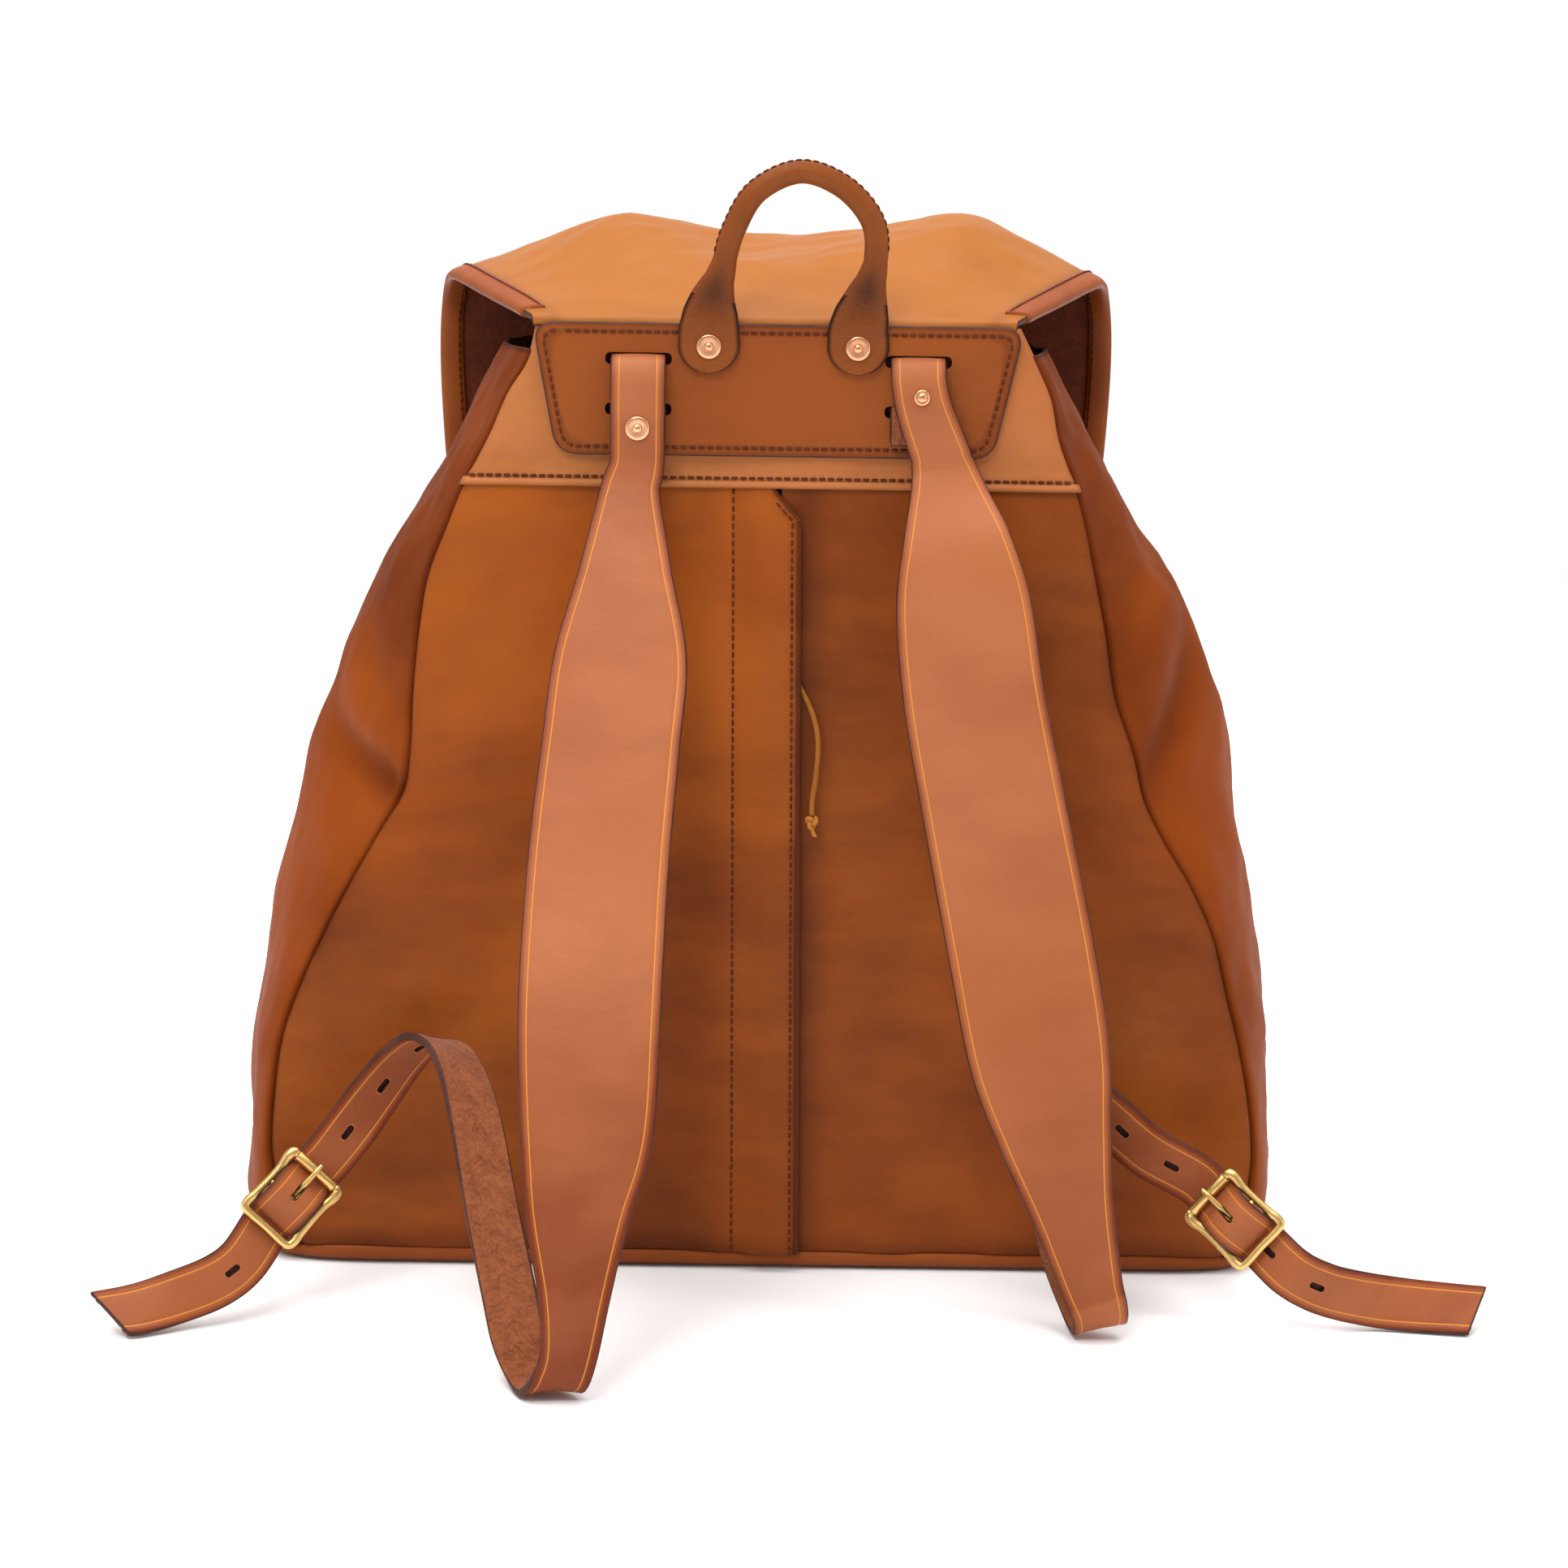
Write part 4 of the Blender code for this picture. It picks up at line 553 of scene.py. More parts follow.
def outline_sheet(name, outline, place, thickness, looks, insets):
    """A flat piece from a rounded outline. place turns (x, z, height over the base surface) into points."""
    outline = np.asarray(outline, float)
    tangent = unit(np.roll(outline, -1, axis=0) - np.roll(outline, 1, axis=0))
    inward = np.stack([-tangent[:, 1], tangent[:, 0]], axis=1)
    centre = outline.mean(0)
    if ((centre - outline) * inward).sum() < 0:
        inward = -inward
    rings = [outline + inward * inset for inset in insets]
    last = rings[-1]
    for share in (0.75, 0.5, 0.25):
        rings.append(centre + (last - centre) * share)
    loop = len(outline)
    front = [place(ring, thickness) for ring in rings]
    back = [place(ring, 0.0) for ring in rings]
    rim = []
    for angle in np.radians([30, 60, 90, 120, 150]):
        out = outline - inward * thickness * 0.3 * math.sin(angle)
        rim.append(place(out, thickness / 2 + thickness / 2 * math.cos(angle)))
    chain = front[::-1] + rim + back
    verts = np.vstack(chain)
    faces, kinds = [], []
    for k in range(len(chain) - 1):
        kind = 0 if k < len(front) - 1 else (1 if k >= len(front) - 1 + len(rim) + 1 else 2)
        for i in range(loop):
            j = (i + 1) % loop
            faces.append((k * loop + i, k * loop + j, (k + 1) * loop + j, (k + 1) * loop + i))
            kinds.append(kind)
    faces += [tuple(range(loop))[::-1], tuple(range(len(verts) - loop, len(verts)))]
    kinds += [0, 1]
    far = list(insets) + [insets[-1] + 8, insets[-1] + 16, insets[-1] + 24]
    depth = far[::-1] + [0.0] * len(rim) + far
    flat = [ring for ring in rings[::-1]] + [outline] * len(rim) + rings
    made = make_object(name, verts, faces, looks, kinds, np.vstack(flat), np.repeat(depth, loop))
    fix_normals(made)
    return made


def rounded(corners, radius, steps=10, straight=2.0):
    """An outline with short arcs for its corners and points every few millimetres along its sides."""
    corners = np.asarray(corners, float)
    radius = np.broadcast_to(radius, len(corners))
    found = []
    for i, here in enumerate(corners):
        before, after = corners[i - 1], corners[(i + 1) % len(corners)]
        start, end = here + unit(before - here) * radius[i], here + unit(after - here) * radius[i]
        t = np.linspace(0, 1, steps)[:, None]
        found.append(start * (1 - t) ** 2 + here * 2 * t * (1 - t) + end * t**2)
        stop = after + unit(here - after) * radius[(i + 1) % len(corners)]
        count = max(2, int(np.linalg.norm(stop - end) / straight))
        found.append(end + (stop - end) * np.linspace(0, 1, count + 1)[1:-1, None])
    return np.vstack(found)


def apply_modifiers(made):
    graph = bpy.context.evaluated_depsgraph_get()
    mesh = bpy.data.meshes.new_from_object(made.evaluated_get(graph), preserve_all_data_layers=True,
                                           depsgraph=graph)
    made.modifiers.clear()
    made.data = mesh


def carve(made, cutters):
    """Cuts closed shapes out of a piece; their walls take its third material, the cut edge."""
    for cutter in cutters:
        while len(cutter.data.materials) < len(made.data.materials):
            cutter.data.materials.append(made.data.materials[-1])
        cutter.data.polygons.foreach_set("material_index", np.full(len(cutter.data.polygons), 2, np.int32))
        modifier = made.modifiers.new("hole", "BOOLEAN")
        modifier.operation = "DIFFERENCE"
        modifier.solver = "EXACT"
        modifier.object = cutter
    bpy.context.view_layer.update()
    apply_modifiers(made)
    made.data.set_sharp_from_angle(angle=math.radians(40))
    for cutter in cutters:
        bpy.data.objects.remove(cutter)


def measure_edge(made, outline):
    """Sets a flat piece's edge numbers to the distance from its outline, in x and z."""
    count = len(made.data.vertices)
    flat = np.zeros(count * 3, np.float32)
    made.data.vertices.foreach_get("co", flat)
    points = flat.reshape(-1, 3)[:, [0, 2]] / MM
    starts, spans = outline, np.roll(outline, -1, axis=0) - outline
    gap = points[:, None] - starts[None]
    share = np.clip((gap * spans).sum(2) / (spans**2).sum(1), 0, 1)
    distance = np.linalg.norm(gap - spans * share[..., None], axis=2).min(1)
    made.data.attributes["edge"].data.foreach_set("value", distance.astype(np.float32))


def oblong(name, centre, along, across, out, length, width, height, look):
    """A straight-sided peg with round ends, for cutting an oblong hole."""
    outline = rounded([(-length / 2, -width / 2), (length / 2, -width / 2), (length / 2, width / 2),
                       (-length / 2, width / 2)], width * 0.499, 6, 3.0)
    rings = [[np.array(centre) + np.array(along) * u + np.array(across) * w + np.array(out) * h for u,
              w in outline] for h in (-height / 2, height / 2)]
    return ring_loft(name, rings, look)


def stitches(name, points, normals, look, pitch=3.7, length=2.9, radius=0.5):
    """A row of thread stitches along a line on a surface, each one dipping into the leather at its ends."""
    points, normals = np.asarray(points, float), np.asarray(normals, float)
    along = travelled(points)
    at = np.arange(pitch / 2, along[-1] - pitch / 3, pitch)
    centre = np.stack([np.interp(at, along, points[:, k]) for k in range(3)], axis=1)
    ahead = np.stack([np.interp(at + 1, along, points[:, k]) for k in range(3)], axis=1)
    behind = np.stack([np.interp(at - 1, along, points[:, k]) for k in range(3)], axis=1)
    normal = unit(np.stack([np.interp(at, along, normals[:, k]) for k in range(3)], axis=1))
    forward = unit(ahead - behind)
    side = np.cross(forward, normal)
    sides, verts, faces = 6, [], []
    shape = [(-0.5, 0.45, -0.55), (-0.36, 0.95, -0.02), (0, 1.0, 0.1), (0.36, 0.95, -0.02),
             (0.5, 0.45, -0.55)]
    for share, wide, up in shape:
        for a in turns(sides):
            verts.append(centre + forward * length * share + side * radius * wide * math.cos(a) + normal
                         * (0.12 + up * radius * 1.6 + radius * wide * math.sin(a)))
    verts = np.stack(verts, axis=1)
    ring = len(shape) * sides
    for k in range(len(centre)):
        for r in range(len(shape) - 1):
            for i in range(sides):
                j = (i + 1) % sides
                a = k * ring + r * sides
                faces.append((a + i, a + sides + i, a + sides + j, a + j))
        faces.append(tuple(k * ring + i for i in range(sides)))
        faces.append(tuple(k * ring + ring - 1 - i for i in range(sides)))
    return make_object(name, verts.reshape(-1, 3), faces, [look])


def place(made, body, slot=None, *nodes):
    """Sets a finished piece on its body and hides the parts that it stands for."""
    if body:
        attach(made, body)
    if nodes:
        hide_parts(*nodes)
    return made


def sew(looks, name, path, normals, body, *sizes):
    """Stitches along a path, on one body."""
    place(stitches(name, path, normals, looks["thread"], *sizes), body, "edge_leather")


# ---------------------------------------------------------------- body of the bag
SEAM_ROUND = 3.2


def rolled_in(edge, radius=SEAM_ROUND):
    """How far a panel has turned inwards at a distance from its seam."""
    near = np.clip(radius - edge, 0, radius)
    return radius - np.sqrt(radius**2 - near**2)


def panel_heights(top):
    low = WALL_Z + np.array([0, 0.5, 1.2, 2.4, 4.5])
    return np.concatenate([low, np.linspace(16, top, 96)])


def back_panel_left(looks):
    """The left half of the back, running on into the fly that covers the zip."""
    z = np.union1d(panel_heights(349.6), [334.8, 336, 337.2])[:, None]
    outer = -table(BACK["left"], z)
    fold = np.interp(z, [9.5, YOKE_Z], [-14, -16.6])
    free = np.interp(z, [9.5, 336, 347.5, 350], [14.6, 11.4, 1, 0])
    t = dense_ends(64, 0.85)[None, :]
    u = np.linspace(0, 1, 26)[None, 1:]
    x = np.hstack([outer + (fold - outer) * t, fold + (free - fold) * u])
    zz = np.broadcast_to(z, x.shape)
    lift = 1.9 * ease(x, fold - 26, fold) + 3.4 * ease(x, fold + 1, fold + 14)
    lift = lift * (1 - 0.75 * ease(zz, 334, 349))
    belly = 3.2 * bell(x, -118, 55) * bell(zz, 120, 95) + 2.2 * bell(x, -92, 40) * bell(zz, 268, 50)
    sway = 0.7 * ripple(x, zz, 90, 3) * ease(-x, 20, 60)
    pull = -1.4 * bell(zz, 214 + 0.25 * (x + 158), 9) * bell(x, -158, 26)
    edge = x - outer
    y = BACK_Y - lift - belly - sway - pull + rolled_in(edge) + rolled_in(zz - WALL_Z, FLOOR_ROUND)
    y += 0.35 * bell(x, fold, 0.9) + 0.25 * bell(free - x, 3, 1.0)
    # tone: painted shade towards the middle of the panel, at the outer seam, along the foot and over the
    # lower part of the panel (less on the fly); the fly is also darker along its free edge and a little
    # darker as a whole
    tone = 0.25 * bell(free - x, 0, 3.0) + 0.16 * bell(x, -35, 30) * ease(-x, 15, 30)
    tone = tone + 0.30 * ease(12 - zz + WALL_Z, 0, 12) + 0.35 * bell(edge, 0, 2.2)
    tone = tone + (0.45 - 0.20 * ease(x, fold - 4, fold + 2)) * ease(265 - zz, 0, 90)
    tone = tone + 0.12 * ease(x, fold - 2, fold + 2)
    panel = leather_sheet("back_left_and_fly", np.stack([x, y, zz], 2), PANEL_LEATHER,
                          [looks["back"], looks["suede"], looks["binding"]], sides="r", tone=tone,
                          round_out=1.0)
    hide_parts("back_panel_left", "zip_flap")
    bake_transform(panel)
    rows = np.arange(2, len(z))
    seam = 63
    line = np.stack([x, y, zz], 2)
    down = np.tile([0, -1.0, 0], (len(rows), 1))
    sew(looks, "fly_fixed_stitches", line[rows, seam], down, "bag")
    path = np.stack([free[:, 0] - 3.0, y[:, -4], z[:, 0]], 1)
    keep = z[:, 0] < 334
    top = np.array([[9.0, path[keep][-1, 1], 335.4], [0.4, path[keep][-1, 1], 344.6]])
    rise = np.linspace(0, 1, 8)[:, None]
    path = np.vstack([path[keep], top[0] + (top[1] - top[0]) * rise])
    path[:, 1] = np.concatenate([free_edge_level(x, y, free, keep), np.full(8, path[-1, 1])])
    sew(looks, "fly_edge_stitches", path, np.tile([0, -1.0, 0], (len(path), 1)), "zip_flap")


def free_edge_level(x, y, free, keep):
    """The fly's face 3 mm in from its free edge, row by row."""
    return np.array([np.interp(f - 3.0, row_x, row_y) for row_x, row_y, f in zip(x[keep], y[keep],
                                                                                 free[keep, 0])])


def back_panel_right(looks):
    z = panel_heights(349.6)[:, None]
    outer = table(BACK["right"], z)
    start = np.full_like(z, 4.0)
    x = start + (outer - start) * dense_ends(72, 0.8)[None, :]
    zz = np.broadcast_to(z, x.shape)
    edge = outer - x
    belly = 3.2 * bell(x, 118, 55) * bell(zz, 115, 95) + 2.0 * bell(x, 96, 40) * bell(zz, 262, 50)
    sway = 0.7 * ripple(x, zz, 90, 4) * ease(x, 24, 60)
    drag = np.sin((x * 0.62 + zz * 0.8) / 4.2) * 0.28 * bell(x, 150, 18) * bell(zz, 190 - 0.9 * (x - 150),
                                                                                46)
    y = BACK_Y - belly - sway - drag + rolled_in(edge) + rolled_in(zz - WALL_Z, FLOOR_ROUND)
    # tone: a painted shadow of the fly along its free edge, painted shade towards the middle, at the outer
    # seam and along the foot, and the whole half drawn darker
    tone = 0.30 * bell(x, 14, 9) + 0.10 * bell(x, 48, 22) + 0.35 * bell(edge, 0, 2.2)
    tone = tone + 0.40 + 0.30 * ease(12 - zz + WALL_Z, 0, 12)
    place(leather_sheet("back_right", np.stack([x, y, zz], 2), PANEL_LEATHER, layers(looks, "back"), sides="",
                        tone=tone), "bag", "body_leather", "back_panel_right")


def gusset(looks, word):
    sign = -1 if word == "left" else 1
    s = dense_ends(70, 0.85)[None, :]
    mouth = 406 - 10 * table(DEPTH, 400.0) * s / 125
    t = np.concatenate([[0, 0.0014, 0.004, 0.008, 0.014], np.linspace(0.024, 1, 100)])[:, None]
    z = WALL_Z + (mouth - WALL_Z) * t
    back, side, front = table(BACK[word], z), table(SIDE[word], z), table(FRONT, z)
    depth, power = table(DEPTH, z), table(FULLNESS, z)
    swell = np.clip(np.sin(np.pi * s), 0, 1) ** power
    x = back + (front - back) * s + (side - (back + front) / 2) * swell
    y = BACK_Y + depth * s
    if word == "left":
        fold = -6.5 * bell(z, 216 + 60 * s, 8) * ease(0.42 - s, 0, 0.36)
        fold = fold + 2.6 * bell(z, 236 + 70 * s, 14) * bell(s, 0.12, 0.14)
        fold = fold + 2.4 * bell(z, 190 + 40 * s, 17) * bell(s, 0.1, 0.14)
        fold = fold - 2.5 * bell(z, 312 - 60 * s, 13) * bell(s, 0.3, 0.22)
    else:
        fold = -5.0 * bell(z, 222 + 150 * s, 13) * ease(0.5 - s, 0, 0.4)
        fold = fold + 3.4 * bell(z, 262 + 120 * s, 17) * bell(s, 0.16, 0.18)
        fold = fold - 2.8 * bell(z, 300 + 40 * s, 12) * bell(s, 0.36, 0.2)
        fold = fold + 1.8 * bell(z, 175 + 60 * s, 22) * bell(s, 0.1, 0.14)
    grid = np.stack([sign * x, y, z], 2)
    if word == "left":
        grid, fold, s = grid[:, ::-1], fold[:, ::-1], s[:, ::-1]
    left, right, top, _ = grid_lengths(grid)
    seam = np.minimum(left, right)
    normal = grid_normals(grid)
    inwards = rolled_in(seam) + rolled_in(top, 2.2) - fold - 1.0 * ripple(left, top, 70, 9 + sign)
    inwards = inwards * ease(seam, -0.1, 14) + rolled_in(seam) * (1 - ease(seam, -0.1, 14))
    grid = grid - normal * inwards[..., None]
    # tone: painted shade in the fold valleys and painted light on the bulges, painted shade at the seams,
    # beside the back seam and along the foot; also darker towards the front and towards the top
    tone = np.clip(-fold * 0.075, -0.10, 0.45) + 0.4 * bell(seam, 0, 2.4) + 0.3 * ease(10 - top, 0, 10)
    tone = tone + 0.10 * ease(s, 0.3, 0.55) + 0.42 * ease(grid[:, :, 2], 215, 300)
    tone = tone + 0.12 * bell(s, 0, 0.12)
    place(leather_sheet("gusset_" + word + "_skin", grid, PANEL_LEATHER, layers(looks, "gusset"), sides="b",
                        tone=tone), "bag", "body_leather", "gusset_" + word)


def front_panel(looks):
    z = np.concatenate([WALL_Z + np.array([0, 0.5, 1.2, 2.4, 4.5]), np.linspace(16, 396, 90)])[:, None]
    half = table(FRONT, z)
    x = half * (1 - 2 * dense_ends(80, 0.6)[None, :])
    zz = np.broadcast_to(z, x.shape)
    edge = half - np.abs(x)
    sag = 1.2 * ripple(x, zz, 110, 21) * ease(np.abs(x), 18, 50) * ease(edge, 0, 20)
    y = BACK_Y + table(DEPTH, zz) - rolled_in(edge) - rolled_in(zz - WALL_Z, FLOOR_ROUND) + sag
    # tone: painted shade at the seams and along the foot
    tone = 0.35 * bell(edge, 0, 2.2) + 0.3 * ease(12 - zz + WALL_Z, 0, 12)
    place(leather_sheet("front_skin", np.stack([x, y, zz], 2), PANEL_LEATHER, layers(looks, "body"),
                        sides="t", tone=tone), "bag", "body_leather", "front_panel")


def outline_ring(z):
    """The bag's outline at one height, anticlockwise from the left back seam."""
    s = np.linspace(0, 1, 41)
    parts = []
    for word, sign in (("right", 1), ("left", -1)):
        back, side, front = (float(table(t, z)) for t in (BACK[word], SIDE[word], FRONT))
        depth, power = float(table(DEPTH, z)), float(table(FULLNESS, z))
        x = back + (front - back) * s + (side - (back + front) / 2) * np.clip(np.sin(np.pi * s), 0,
                                                                              1) ** power
        parts.append(np.stack([sign * x, BACK_Y + depth * s], 1))
    right, left = parts
    back_line = np.linspace(left[0], right[0], 40, endpoint=False)
    front_line = np.linspace(right[-1], left[-1], 40, endpoint=False)
    ring = np.vstack([back_line, right[:-1], front_line, left[:0:-1]])
    smooth = ring.copy()
    for _ in range(6):
        smooth = (np.roll(smooth, 1, 0) + 2 * smooth + np.roll(smooth, -1, 0)) / 4
    return smooth


def base(looks):
    ring = outline_ring(8.0)
    tangent = unit(np.roll(ring, -1, 0) - np.roll(ring, 1, 0))
    inward = np.stack([-tangent[:, 1], tangent[:, 0]], 1)
    profile = [(34, 0.5), (14, 0.15), (6, 0.2), (2.6, 0.9), (0.5, 2.2), (-0.5, 3.8), (-0.9, 5.4),
               (-0.6, 6.9), (0.3, 8.0), (1.6, 8.4), (2.9, 7.8), (3.2, 5), (4.4, 3.4), (14, 2.8), (34, 2.8)]
    rings = [np.column_stack([ring + inward * inset, np.full(len(ring), z)]) for inset, z in profile]
    # tone round the welt's section: painted shade on top where it tucks in against the panels and on its
    # underside, lightest on its outward face
    tone = np.repeat([0.3, 0.3, 0.3, 0.35, 0.3, 0.15, 0.05, 0.05, 0.2, 0.4, 0.5, 0.3, 0.3, 0.3, 0.3],
                     len(ring))
    place(ring_loft("base_and_welt", rings, looks["binding"], tone=tone), "bag", "edge_leather",
          "base_panel")


def yoke(looks):
    levels = np.concatenate([np.linspace(HINGE_Z - 0.6, 354, 40), [352.9, 352.2]])
    curl = [(-1.5, 351.7), (-2.2, 350.9), (-2.5, 350.0), (-2.2, 349.1), (-1.4, 348.6)]
    heights = np.concatenate([levels, [z for _, z in curl]])[::-1]
    depths = np.concatenate([np.interp(levels, [352.2, 353, 358], [-0.6, -0.9, 0]),
                             [d for d, _ in curl]])[::-1]
    z = heights[:, None]
    left = -table(BACK["left"], z) - 1.5 * (z < 352)
    right = table(BACK["right"], z) + 1.5 * (z < 352)
    x = left + (right - left) * dense_ends(90, 0.6)[None, :]
    zz = np.broadcast_to(z, x.shape)
    edge = np.minimum(x - left, right - x)
    y = BACK_Y + depths[:, None] + rolled_in(edge, 2.6) - 0.6 * ripple(x, zz, 60, 31) * ease(edge, 0,
                                                                                             20) * (zz > 354)
    # tone: painted shade at the side edges, under the turned lower edge and along its fold, and a faint
    # darker band above it
    tone = 0.4 * bell(edge, 0, 1.8) + 0.6 * bell(zz, 348.4, 0.9) + 0.4 * bell(zz, 352.1,
                                                                              0.5) + 0.08 * bell(zz, 359,
                                                                                                 7)
    sheet = leather_sheet("yoke_skin", np.stack([x, y, zz], 2), 1.9, layers(looks, "yoke"), sides="",
                          tone=tone)
    place(sheet, "bag", "body_leather", "back_yoke")
    path = np.stack([np.linspace(-129, 128, 200), np.full(200, BACK_Y - 1.0), np.full(200, 353.0)], 1)
    sew(looks, "yoke_stitches", path, np.tile([0, -1.0, 0], (200, 1)), "bag")
    return sheet


def on_back(depth):
    """Places outline points (x, z) on the back: depth is the under face, height comes towards the viewer."""
    def place_points(points, height):
        return np.column_stack([points[:, 0], np.full(len(points), BACK_Y + depth - height), points[:, 1]])
    return place_points


def slot_cutters(looks):
    return [oblong(f"slot_cut_{word}_{z}", (x, BACK_Y - 1, z), (1, 0, 0), (0, 0, 1), (0, -1, 0), 28, 5.2,
                   18, looks["edge"]) for word, x in STRAP_X.items() for z in SLOT_HEIGHTS]


def patch(looks, yoke_sheet):
    outline = rounded(PATCH, [9, 9, 9, 9], 10, 3.0)
    made = outline_sheet("patch_skin", outline, on_back(-0.3), 2.6, layers(looks, "patch"),
                         insets=(0, 1, 2.2))
    carve(made, slot_cutters(looks))
    measure_edge(made, outline)
    place(made, "bag", "body_leather", "strap_patch")
    carve(yoke_sheet, slot_cutters(looks))
    inner = rounded([(-97.6, 414.6), (-88.4, 366), (89.4, 366), (100.6, 414.6)], 6.5, 12, 2.0)
    inner = np.vstack([inner, inner[:1]])
    path = np.column_stack([inner[:, 0], np.full(len(inner), BACK_Y - 2.95), inner[:, 1]])
    sew(looks, "patch_stitches", path, np.tile([0, -1.0, 0], (len(path), 1)), "bag")


# ---------------------------------------------------------------- straps
def strap_frames(stations, count):
    """Centres, side vectors, grain-side normals, widths and directions along a strap."""
    rows = route(stations, count)
    centres = rows[:, :3]
    along = unit(np.gradient(centres, axis=0))
    side = rows[:, 4:7]
    side = unit(side - along * (side * along).sum(1, keepdims=True))
    return centres, side, np.cross(along, side), rows[:, 3], along


def strap_sheet(name, frames, thickness, looks, tone=None, crown=1.0, slant=0):
    """A strap with the grain on its normal side, pressed with a line 3 mm in from each edge. slant cuts
    its far end askew: the edge that it names, + for the side vector's, falls that much short."""
    centres, side, normal, width, along = frames
    near = np.array([0, 0.5, 1.1, 1.8, 2.5, 2.9, 3.3, 3.9, 5.0, 6.8])
    middle = np.linspace(0, 1, 9)[1:-1]
    half = width[:, None] / 2
    scale = np.minimum(1, half / 7.6)
    edge_side = near[None, :] * scale
    across = np.hstack([half - edge_side, (half - 6.8 * scale) * (1 - 2 * middle[None, :]),
                        -(half - edge_side)[:, ::-1]])
    edge = half - np.abs(across)
    up = thickness / 2 - crown * (across / half) ** 2 * (half / 28) - 0.22 * bell(edge, 3.1 * scale, 0.5)
    grid = centres[:, None] + side[:, None] * across[..., None] + normal[:, None] * up[..., None]
    if slant:
        steps = np.linalg.norm(np.diff(centres, axis=0), axis=1)
        left_over = np.append(np.cumsum(steps[::-1])[::-1], 0)
        lag = abs(slant) * (1 + np.sign(slant) * across / half) / 2 * ease(26 - left_over, 0, 26)[:, None]
        grid = grid - along[:, None] * lag[..., None]
    shade = np.zeros_like(across) if tone is None else np.broadcast_to(tone[:, None], across.shape)
    return leather_sheet(name, grid, thickness, looks, sides="lr", tone=shade, round_out=0.45,
                         edge=np.broadcast_to(edge, across.shape))


def buckle_axes(word):
    centre, along, across = (np.array(v, float) for v in BUCKLES[word])
    along = unit(along)
    across = unit(across - along * (across @ along))
    out = np.cross(along, across)
    out = -out if out[1] > 0 else out
    return centre + [0, BACK_Y, 0], along, across, out


def frame_at(frames, distance_from_end):
    centres, side, normal, _, along = frames
    reached = travelled(centres)
    i = int(np.argmin(np.abs(reached[-1] - distance_from_end - reached)))
    return centres[i], along[i], side[i], normal[i]


def in_row(stations):
    return [(x, BACK_Y + depth, *rest) for x, depth, *rest in stations]


def shoulder_strap(looks, word):
    centre, along, across, out = buckle_axes(word)
    x = STRAP_X[word]
    stations = []
    for depth, z in LOOP_ROUTE[::-1]:
        share = (max(398 - z, 0) / 32) ** 1.5 if depth < -8 else 0
        stations.append((x + LOOP_LEAN[word] * share, BACK_Y + depth, z, 22 + LOOP_WIDENING[word] * share,
                         1, 0, 0))
    stations += in_row(MAIN[word])
    for u, n in ((-25, -5.6), (-16.6, -5.1)):
        stations.append((*(centre + along * u + out * n), 21.0, *across))
    frames = strap_frames(stations, 330)
    z = frames[0][:, 2]
    share = travelled(frames[0])
    share = share / share[-1]
    tone = 0.02 + 0.10 * bell(z, 262, 45) * (share < 0.62) + 0.38 * ease(160 - z, 0, 130) * (share < 0.7)
    tone = tone + 0.50 * ease(share, 0.74, 0.84) - 0.05 * bell(z, 330, 30)
    if word == "left":
        tone = tone + (0.34 * bell(z, 355, 38) + 0.36 * ease(190 - z, 0, 90)) * (share < 0.7)
    made = strap_sheet("strap_" + word, frames, STRAP_THICKNESS, layers(looks, "strap"), tone)
    cutters = []
    for number, distance in enumerate((20, 45, 71, 96) if word == "left" else (19, 46, 72)):
        spot, forward, side, normal = frame_at(frames, distance)
        cutters.append(oblong(f"hole_cut_{word}_{number}", spot + normal * STRAP_THICKNESS, forward, side,
                              normal, 7, 2.8, 8, looks["edge"]))
    carve(made, cutters)
    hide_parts("strap_loop_" + word, "shoulder_strap_" + word)
    spot = (x * MM, (BACK_Y - 7.5) * MM)
    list(spot)
    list(spot)
    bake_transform(made)


def tail(looks, word):
    centre, along, across, out = buckle_axes(word)
    stations = [(*(centre + along * u + out * n), 20.6, *across) for u, n in THROUGH_BUCKLE[2:]]
    frames = strap_frames(stations + in_row(TAILS[word]), 150)
    share = np.linspace(0, 1, 150)
    tone = 0.28 + 0.12 * ease(share, 0.5, 1) - 0.16 * bell(share, 0.12, 0.1)
    made = strap_sheet("strap_end_" + word, frames, STRAP_THICKNESS, layers(looks, "strap"), tone, 0.6,
                       slant=12 if word == "left" else -7)
    steps = np.linalg.norm(np.diff(frames[0], axis=0), axis=1).sum()
    cutters = [oblong(f"prong_cut_{word}", centre + along * -4.6 + out * 4.0, along, across, out, 10, 3.2,
               14, looks["edge"])]
    for number, distance in enumerate((65,) if word == "left" else (45, 70)):
        spot, forward, side, normal = frame_at(frames, steps - distance)
        cutters.append(oblong(f"tail_cut_{word}_{number}", spot + normal * STRAP_THICKNESS, forward, side,
                              normal, 7, 2.8, 8, looks["edge"]))
    carve(made, cutters)
    place(made, "bag", "strap_leather", "strap_tail_" + word)


def rivet(name, spot, direction, head, stem, look, body, nodes):
    """A copper burr (a washer) or a plain domed head, with the peened end of the rivet standing in it."""
    spot = np.array(spot, float)
    dome = [(0, 0.02), (0.0, stem * 0.9), (0.9, stem), (1.5, stem * 0.92), (2.0, stem * 0.62), (2.2, 0.05)]
    if head:
        washer = [(0, 0.05), (0, head - 0.3), (0.25, head), (0.75, head), (1.05, head - 0.35),
                  (1.1, head * 0.72), (0.95, head * 0.48), (0.95, 0.05)]
        place(revolved(name + "_burr_shown", spot, direction, washer, look, 48), body, "copper", *nodes[1:])
    place(revolved(name + "_rivet_shown", spot, direction, [(d + 0.2, r) for d, r in dome], look, 40),
          body, "copper", nodes[0])


